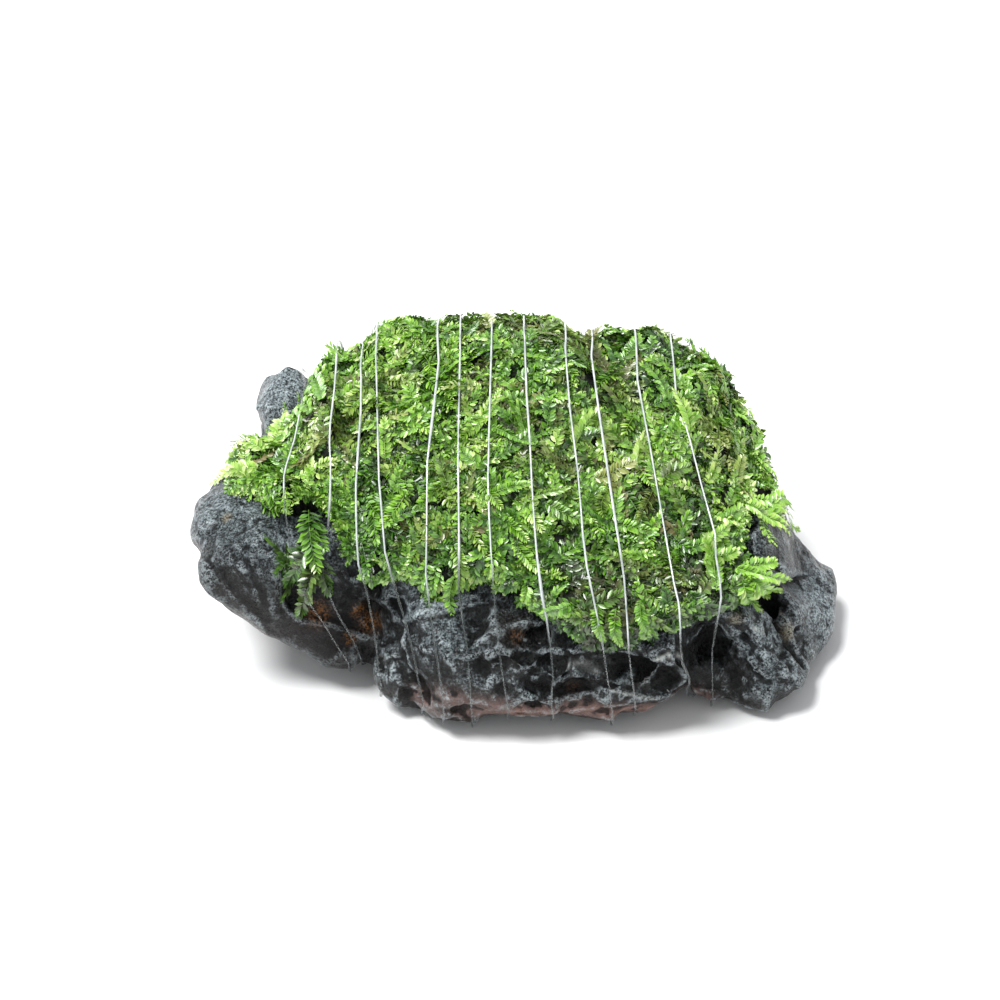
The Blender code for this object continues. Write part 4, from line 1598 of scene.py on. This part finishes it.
@dataclass
class Stone:
    """The stone's fine surface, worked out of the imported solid."""

    surface: MatSurface
    view: Viewpoint
    voxel: float = 0.00039
    smoothing: int = 3
    hidden_margin: float = 0.002
    hidden_cut: float = 0.92
    most_rise: float = 0.16
    foot: float = 0.0003
    foot_run: float = 0.001
    wear_rounds: int = 110
    wear_swell: float = 0.0005
    least_wear: float = 0.12
    least_rugged: float = 0.30
    shoulder_shell: float = 0.002
    shell: float = 0.003
    moss_run: float = 0.002
    moss_calm: float = 0.7
    brown_calm: float = 0.7
    # Painted shade on low, downward-facing faces, in the brownish tone.
    shaded_underside_low: float = 0.011
    shaded_underside_run: float = 0.010
    shaded_underside_tilt: float = 0.45
    bend_mm: float = 3.0
    coarse_chip_mm: float = 3.4
    fine_chip_mm: float = 1.5
    pit_mm: float = 2.1
    pit_width: float = 0.36
    pit_patch_mm: float = 5.0
    ridge_mm: float = 3.4
    grain_mm: float = 1.1
    middle_mm: float = 0.12

    worn: tuple[Mark, ...] = (
        Mark(215, 535, 9.0, 0.95), Mark(240, 580, 9.0, 0.95), Mark(300, 645, 8.0, 0.95),
        Mark(285, 390, 6.0, 0.9), Mark(822, 600, 8.0, 0.85), Mark(800, 540, 6.0, 0.8),
        Mark(440, 600, 5.0, 0.5), Mark(500, 712, 5.0, 0.5),
    )
    rugged: tuple[Mark, ...] = (
        Mark(340, 595, 5.0, 0.9), Mark(400, 660, 6.0, 0.9), Mark(480, 660, 6.0, 0.6),
        Mark(560, 660, 9.0, 1.0), Mark(640, 680, 7.0, 1.0), Mark(745, 655, 7.0, 1.0),
        Mark(785, 630, 6.0, 1.0),
    )
    dents: tuple[Mark, ...] = (
        Mark(537, 638, 1.3, 0.9), Mark(558, 641, 1.1, 0.8), Mark(533, 702, 1.1, 0.9),
        Mark(573, 686, 1.1, 0.6), Mark(668, 679, 1.9, 1.0), Mark(642, 677, 1.0, 0.6),
        Mark(744, 640, 0.8, 0.6), Mark(478, 668, 1.5, 0.4), Mark(455, 655, 1.1, 0.3),
        Mark(501, 690, 1.1, 0.4), Mark(775, 603, 1.8, 0.9), Mark(217, 530, 1.0, 0.3),
        Mark(246, 548, 0.8, 0.3), Mark(211, 556, 3.0, -0.8),
    )
    grooves: tuple[Stroke, ...] = (
        Stroke(((377, 590), (372, 612), (377, 640), (378, 668)), 0.7, 0.8),
        Stroke(((394, 602), (398, 642), (408, 672), (424, 698), (452, 714)), 0.6, 0.8),
        Stroke(((767, 598), (780, 617), (791, 645), (804, 664), (812, 678)), 0.6, 1.1),
        Stroke(((245, 560), (262, 590), (268, 622)), 0.6, 0.3),
    )
    ledges: tuple[Ledge, ...] = (
        Ledge(((352, 630), (330, 622), (303, 618), (290, 610), (284, 592), (290, 572)), 0.9, 0.5, 4.0),
        Ledge(((455, 716), (426, 698), (410, 672), (401, 642), (397, 606)), 0.7, 0.4, 3.0),
        Ledge(((397, 622), (420, 618), (442, 614), (468, 608)), 0.5, 0.3, 3.0),
        Ledge(((505, 656), (528, 650), (560, 657), (600, 652), (640, 660)), 0.8, 0.4, 3.0),
        Ledge(((704, 692), (648, 698), (602, 688), (568, 696)), 0.7, 0.4, 3.0),
        Ledge(((423, 693), (486, 712), (554, 716), (614, 708), (700, 694)), 0.5, 0.4, 3.0),
        Ledge(((778, 600), (790, 652), (798, 690)), 0.6, 0.4, 3.0),
        Ledge(((272, 640), (258, 620), (230, 590), (205, 562)), 0.4, 0.5, 3.0),
        Ledge(((724, 640), (740, 634), (752, 640), (760, 656)), 0.5, 0.3, 2.6),
    )
    lanes: tuple[Vector, ...] = (Vector((0, 0, 0)), Vector((31.4, 0, 0)), Vector((0, 47.2, 0)))
    marks: dict[Tone, tuple[Mark, ...]] = field(default_factory=lambda: {
        Tone.BROWN: (
            Mark(335, 645, 6.0, 0.95), Mark(300, 642, 6.0, 0.95), Mark(262, 612, 5.0, 0.45),
            Mark(510, 632, 4.2, 0.75), Mark(400, 706, 3.6, 0.6), Mark(740, 672, 2.8, 0.6),
            Mark(575, 688, 2.4, 0.6),
        ),
        Tone.RUST: (
            Mark(370, 622, 1.5, 1.0), Mark(360, 612, 1.2, 0.9), Mark(350, 638, 0.9, 0.9),
            Mark(318, 614, 1.8, 0.7), Mark(516, 636, 1.2, 0.3), Mark(573, 688, 1.0, 0.5),
            Mark(641, 678, 1.0, 0.5), Mark(262, 632, 0.9, 0.6), Mark(783, 610, 0.7, 0.9),
        ),
        Tone.TAN: (
            Mark(228, 519, 0.8, 0.8), Mark(768, 500, 3.0, 0.7), Mark(770, 524, 3.6, 0.7),
            Mark(736, 620, 1.1, 0.7), Mark(790, 631, 1.4, 0.6),
        ),
        # Painted sheen on upper faces.
        Tone.BLUE: (
            Mark(285, 388, 6.0, 1.0), Mark(235, 500, 7.0, 0.5), Mark(300, 545, 4.0, 0.5),
            Mark(425, 596, 5.5, 0.75), Mark(440, 625, 3.0, 0.5), Mark(765, 635, 5.0, 0.75),
            Mark(780, 680, 4.0, 0.35), Mark(822, 610, 6.5, 1.0), Mark(815, 580, 3.5, 0.6),
            Mark(785, 560, 4.0, 0.4),
        ),
        # Painted shade in the niche, the gaps and the pits.
        Tone.DARK: (
            Mark(312, 590, 3.6, 0.8), Mark(335, 596, 3.6, 0.85), Mark(362, 600, 3.0, 0.8),
            Mark(704, 660, 4.0, 0.9), Mark(712, 640, 2.4, 0.8), Mark(547, 640, 2.0, 0.7),
            Mark(668, 679, 1.9, 0.6), Mark(533, 702, 1.3, 0.5), Mark(775, 604, 1.8, 0.7),
            Mark(590, 650, 2.4, 0.5), Mark(330, 650, 4.5, 0.5),
        ),
    })
    strokes: dict[Tone, tuple[Stroke, ...]] = field(default_factory=lambda: {
        # Pale streaks along ridges and rims: pale mineral and painted edge highlights.
        Tone.PALE_AND_HIGHLIGHT: (
            Stroke(((657, 660), (668, 655), (682, 656)), 0.35, 0.9),
            Stroke(((555, 658), (568, 666), (582, 664), (598, 672)), 0.5, 0.6),
            Stroke(((751, 627), (763, 632)), 0.35, 0.7),
            Stroke(((568, 696), (602, 688), (648, 699), (700, 693)), 0.25, 0.5),
            Stroke(((397, 620), (404, 650), (414, 676)), 0.25, 0.4),
            Stroke(((420, 622), (432, 618), (444, 615)), 0.3, 0.5),
        ),
        # Painted pinkish reflection along the base.
        Tone.ROSY_REFLECTION: (
            Stroke(((423, 697), (486, 714), (554, 720), (614, 713), (700, 697)), 1.7, 0.9),
            Stroke(((440, 700), (500, 708), (540, 712)), 1.8, 0.5),
        ),
        # Painted shade along the grooves and seams.
        Tone.DARK: (
            Stroke(((378, 592), (374, 612), (378, 640), (380, 664)), 1.0, 0.8),
            Stroke(((392, 604), (396, 642), (405, 672), (420, 698)), 0.8, 0.6),
            Stroke(((515, 652), (560, 664), (600, 660), (634, 662)), 0.9, 0.5),
            Stroke(((767, 598), (780, 617), (791, 645), (804, 664)), 0.7, 0.8),
        ),
        Tone.BROWN: (
            Stroke(((208, 560), (236, 596), (272, 630)), 3.2, 0.65),
        ),
    })

    def build(self) -> None:
        """Builds and dresses the stone."""
        piece = self._fine_copy()
        skin = Skin(piece)
        self._wear(skin)
        depth = self._carving(skin)
        self._break_skin(skin, depth)
        self._wash(skin, depth)
        self._thin_hidden(piece, skin)
        make_active(piece)
        bpy.ops.object.shade_smooth()
        dress(piece, StoneFinish().material(), "stone", "stone")

    def _fine_copy(self) -> bpy.types.Object:
        """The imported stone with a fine, softened skin.

        Returns:
            The new object.
        """
        piece = copied("stone_body", "stone")
        skin = piece.modifiers.new("Skin", "REMESH")
        skin.mode = "VOXEL"
        skin.voxel_size = self.voxel
        soften = piece.modifiers.new("Soften", "SMOOTH")
        soften.factor = 0.5
        soften.iterations = self.smoothing
        for modifier in (skin.name, soften.name):
            bpy.ops.object.modifier_apply(modifier=modifier)
        return piece

    def _standing(self, skin: Skin) -> np.ndarray:
        """How free each vertex is to move, from 0 at the ground, where the stone keeps its feet."""
        return np.clip((skin.co[:, 2] - self.foot) / self.foot_run, 0, 1)

    def _wear(self, skin: Skin) -> None:
        """Rounds the stone off, most where it is worn smooth, and fills its shoulder beside the moss.

        Args:
            skin: the stone's vertices.
        """
        share = np.full(len(skin.co), self.least_wear)
        for mark in self.worn:
            share = np.maximum(share, self._spot(skin, mark))
        level = skin.averaged(skin.co, self.wear_rounds) + skin.out * self.wear_swell
        skin.co += (level - skin.co) * (share * self._standing(skin))[:, None]
        angle, reach, _, ground = self.surface.survey(skin.co)
        outer = (reach > ground - self.shoulder_shell) & self.surface.above(angle)
        rise = self.surface.sample(self.surface.shoulder, skin.co[:, 0], angle) * outer
        skin.co += self.surface.outward(angle) * rise[:, None]
        skin.write_back()

    def _seen(self, px: float, py: float) -> np.ndarray | None:
        """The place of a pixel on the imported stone, or None beside it."""
        hit = self.surface.solids.seen(self.view, px, py, "stone")
        return None if hit is None else np.array(hit)

    def _spot(self, skin: Skin, mark: Mark) -> np.ndarray:
        """A mark's strength at every vertex.

        Args:
            skin: the stone's vertices.
            mark: the mark.

        Returns:
            The strengths, up to the mark's amount.
        """
        place = self._seen(mark.px, mark.py)
        if place is None:
            log.warning("no stone at pixel %d, %d", mark.px, mark.py)
            return np.zeros(len(skin.co))
        away = np.linalg.norm(skin.co - place, axis=1) / (mark.radius_mm * MM)
        return mark.amount * np.exp(-(away ** 3))

    def _away(self, skin: Skin, path_px: Path) -> np.ndarray:
        """Every vertex's distance in millimetres from a path of pixels on the stone."""
        spots = [self._seen(px, py) for px, py in path_px]
        return off_path(skin.co, [spot for spot in spots if spot is not None])[0] / MM

    def _carving(self, skin: Skin) -> np.ndarray:
        """How deep the placed dents, grooves and ledges go at every vertex.

        Args:
            skin: the stone's vertices.

        Returns:
            The depths in millimetres.
        """
        depth = sum(self._spot(skin, mark) for mark in self.dents)
        for groove in self.grooves:
            away = self._away(skin, groove.path_px) / groove.width_mm
            depth = depth + groove.amount * np.exp(-(away ** 2))
        pixels = self.view.project(skin.co)
        scale = self.view.focal_px / self.view.distance * MM
        for ledge in self.ledges:
            away = self._away(skin, ledge.path_px)
            beside, side = off_path(pixels, list(np.array(ledge.path_px)))
            step = np.clip(0.5 + beside * side / scale / (2 * ledge.edge_mm), 0, 1)
            step = step * step * (3 - 2 * step)
            depth = depth + ledge.drop_mm * step * np.exp(-((away / ledge.run_mm) ** 2))
        return depth

    def _break_skin(self, skin: Skin, depth: np.ndarray) -> None:
        """Sets the carving in and breaks the skin into chips, pits and grain.

        Args:
            skin: the stone's vertices.
            depth: the carving in millimetres.
        """
        rise = np.array([self._relief(Vector(c) / MM) for c in skin.co])
        rise = np.where(rise > 0, self.most_rise * np.tanh(rise / self.most_rise), rise)
        _, reach, margin, ground = self.surface.survey(skin.co)
        under = np.clip(margin / self.moss_run, 0, 1) * (reach > ground - self.shell)
        broken = np.full(len(skin.co), self.least_rugged)
        for mark in self.rugged:
            broken = np.maximum(broken, self._spot(skin, mark))
        calm = self.brown_calm * np.clip(self._toned(skin, Tone.BROWN), 0, 1)
        rise = rise * (1 - self.moss_calm * under) * (1 - calm) * broken
        shift = skin.averaged(rise - depth * (1 - under), 1) * MM
        skin.co += skin.out * (shift * self._standing(skin))[:, None]
        skin.co[:, 2] = np.maximum(skin.co[:, 2], 0.0)
        skin.write_back()

    def _chip(self, at: Vector, size: float) -> float:
        """The height of flat chips, each tilted its own way.

        Args:
            at: the point in millimetres.
            size: the chips' size in millimetres.

        Returns:
            The height in millimetres.
        """
        scaled = at / size
        middle = noise.voronoi(scaled)[1][0]
        tilt = noise.cell_vector(middle * 31.0) - Vector((0.5, 0.5, 0.5))
        return (scaled - middle).dot(tilt) * size

    def _relief(self, at: Vector) -> float:
        """How far the skin stands out at a point.

        Args:
            at: the point in millimetres.

        Returns:
            The height in millimetres.
        """
        warped = at + Vector([noise.noise(at / self.bend_mm + lane) for lane in self.lanes])
        cells = noise.voronoi(warped / self.pit_mm + Vector((7.0, 3.0, 1.0)))
        dimple = max(0.0, 1.0 - (cells[0][0] / self.pit_width) ** 2)
        ridge = noise.ridged_multi_fractal(at / self.ridge_mm, 0.9, 2.1, 3, 0.9, 1.9) - 1.1
        return (
            0.45 * self._chip(warped, self.coarse_chip_mm)
            + 0.55 * self._chip(warped + Vector((9.0, 4.0, 2.0)), self.fine_chip_mm)
            - 0.24 * dimple * (0.5 + noise.noise(at / self.pit_patch_mm))
            + 0.07 * ridge
            + 0.14 * noise.fractal(at / self.grain_mm, 0.8, 2.0, 3)
            - self.middle_mm
        )

    def _toned(self, skin: Skin, tone: Tone) -> np.ndarray:
        """How strongly a tone's marks and strokes show at every vertex.

        Args:
            skin: the stone's vertices.
            tone: the tone.

        Returns:
            The strengths, from 0 to 1.
        """
        strength = np.zeros(len(skin.co))
        for mark in self.marks.get(tone, ()):
            strength = np.maximum(strength, self._spot(skin, mark))
        for stroke in self.strokes.get(tone, ()):
            near = np.exp(-((self._away(skin, stroke.path_px) / stroke.width_mm) ** 2))
            strength = np.maximum(strength, stroke.amount * near)
        return strength

    def _wash(self, skin: Skin, depth: np.ndarray) -> None:
        """Marks where the stone has each tone and each painted sheen, reflection and shade, and how proud
        it stands and how deep it is carved.

        Args:
            skin: the stone's vertices.
            depth: the carving in millimetres.
        """
        layers = {name: np.zeros((len(skin.co), 4)) for name in ("washes", "tones", "form")}
        for tone in Tone:
            name, column = tone.value
            layers[name][:, column] = self._toned(skin, tone)
        # Painted shade on low, downward-facing faces, stored with the brownish tone.
        facing_down = np.clip(self.shaded_underside_tilt - skin.averaged(skin.out[:, 2], 12), 0, 1)
        low = np.clip((self.shaded_underside_low - skin.co[:, 2]) / self.shaded_underside_run, 0, 1) * facing_down * 0.8
        layers["washes"][:, 0] = np.maximum(layers["washes"][:, 0], low)
        # How proud each vertex stands sets painted ridge highlights and painted shade in recesses.
        proud = ((skin.co - skin.averaged(skin.co, 8)) * skin.out).sum(1) / MM
        layers["form"][:, 0] = np.clip(0.5 + proud * 4.0, 0, 1)
        # The carved depth sets painted shade there.
        layers["form"][:, 1] = np.clip(depth / 2.0, 0, 1)
        layers["form"][:, 3] = 1.0
        for name, values in layers.items():
            skin.paint(name, values)

    def _thin_hidden(self, piece: bpy.types.Object, skin: Skin) -> None:
        """Takes faces away where the moss hides the stone.

        Args:
            piece: the stone.
            skin: its vertices.
        """
        _, reach, margin, ground = self.surface.survey(skin.co)
        hidden = np.flatnonzero((margin > self.hidden_margin) & (reach > ground - self.shell))
        group = piece.vertex_groups.new(name="hidden")
        group.add([int(v) for v in hidden], 1.0, "REPLACE")
        thin = piece.modifiers.new("Thin", "DECIMATE")
        thin.vertex_group = group.name
        thin.vertex_group_factor = 1.0
        thin.ratio = 1 - self.hidden_cut * len(hidden) / len(skin.co)
        make_active(piece)
        bpy.ops.object.modifier_apply(modifier=thin.name)
        piece.vertex_groups.clear()


@dataclass
class BindingLine:
    """The clear line that holds the moss."""

    surface: MatSurface
    thinned: float = 0.00001
    moss_edge: float = 0.0006
    radius: float = 0.00015
    clearance: float = 0.00045
    low_clearance: float = 0.0002
    moss_clearance: float = 0.0007
    low: float = 0.010
    most_drawn: float = 0.0012
    cuts: int = 2
    ring_rounds: int = 2
    crease_angle: float = 70.0

    def build(self) -> None:
        """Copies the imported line, draws it in, marks where it runs over moss and dresses it."""
        piece = copied("clear_line", "binding_line", self.cuts)
        bpy.ops.object.shade_smooth_by_angle(angle=math.radians(self.crease_angle))
        skin = Skin(piece)
        angle, _, margin, _ = self.surface.survey(skin.co)
        over = np.clip(margin / self.moss_edge, 0, 1) * self.surface.above(angle)
        skin.paint("over_moss", np.repeat(over[:, None], 4, axis=1))
        skin.co += self._drawn_in(skin, over) - skin.out * self.thinned
        skin.write_back()
        dress(piece, LineFinish().material(), "clear_line", "binding_line")

    def _drawn_in(self, skin: Skin, over: np.ndarray) -> np.ndarray:
        """How each vertex moves for the line to lie close to what it binds.

        Args:
            skin: the line's vertices.
            over: which of them run over moss, from 0 to 1.

        Returns:
            The moves, nearly the same all round the line.
        """
        raised = np.clip(skin.co[:, 2] / self.low, 0, 1)
        clear = self.low_clearance + (self.clearance - self.low_clearance) * raised
        clear = clear + (self.moss_clearance - clear) * over
        move = np.zeros_like(skin.co)
        for i, middle in enumerate(skin.co - skin.out * self.radius):
            spots = [tree.find_nearest(Vector(middle))[0] for tree in self.surface.solids.trees.values()]
            near = min((np.array(spot) - middle for spot in spots), key=np.linalg.norm)
            gap = np.linalg.norm(near)
            move[i] = near * min(max(gap - clear[i], 0.0), self.most_drawn) / gap
        return skin.averaged(move, self.ring_rounds)


@dataclass
class Studio:
    """A white floor, a white surrounding and one broad soft light overhead."""

    view: Viewpoint
    floor_size: float = 3.0
    floor_white: Colour = (0.93, 0.93, 0.93, 1.0)
    key_strength: float = 4.1
    key_spread: float = 24.0
    key_from: tuple[float, float, float] = (-0.42, -0.10, 1.0)
    surround: float = 0.60
    surround_white: Colour = (0.97, 0.985, 1.0, 1.0)

    def build(self) -> None:
        """Sets the camera, the floor and the lights."""
        self.view.make_camera()
        clear_selection()
        bpy.ops.mesh.primitive_grid_add(x_subdivisions=8, y_subdivisions=8, size=self.floor_size)
        floor = bpy.context.object
        floor.name = "floor"
        desk = ShaderDesk("floor_white")
        desk.feed(Base_Color=self.floor_white, Roughness=0.9)
        floor.data.materials.append(desk.material)
        world = bpy.data.worlds.new("surround")
        world.use_nodes = True
        back = world.node_tree.nodes["Background"]
        back.inputs["Color"].default_value = self.surround_white
        back.inputs["Strength"].default_value = self.surround
        bpy.context.scene.world = world
        lamp = bpy.data.lights.new("soft_top_light", "SUN")
        lamp.energy = self.key_strength
        lamp.angle = math.radians(self.key_spread)
        top = linked("soft_top_light", lamp)
        top.rotation_mode = "QUATERNION"
        top.rotation_quaternion = (-Vector(self.key_from)).to_track_quat("-Z", "Y")
        bpy.context.scene.view_settings.view_transform = "Standard"


def main() -> None:
    """Builds the scene: studio, stone, moss and line."""
    logging.basicConfig(level=logging.INFO, format="%(message)s")
    view = Viewpoint()
    Studio(view).build()
    surface = MatSurface(Solids(("stone", "moss_mat")), view)
    Stone(surface, view).build()
    MossMat(surface, view).build()
    BindingLine(surface).build()


if __name__ == "__main__":
    main()
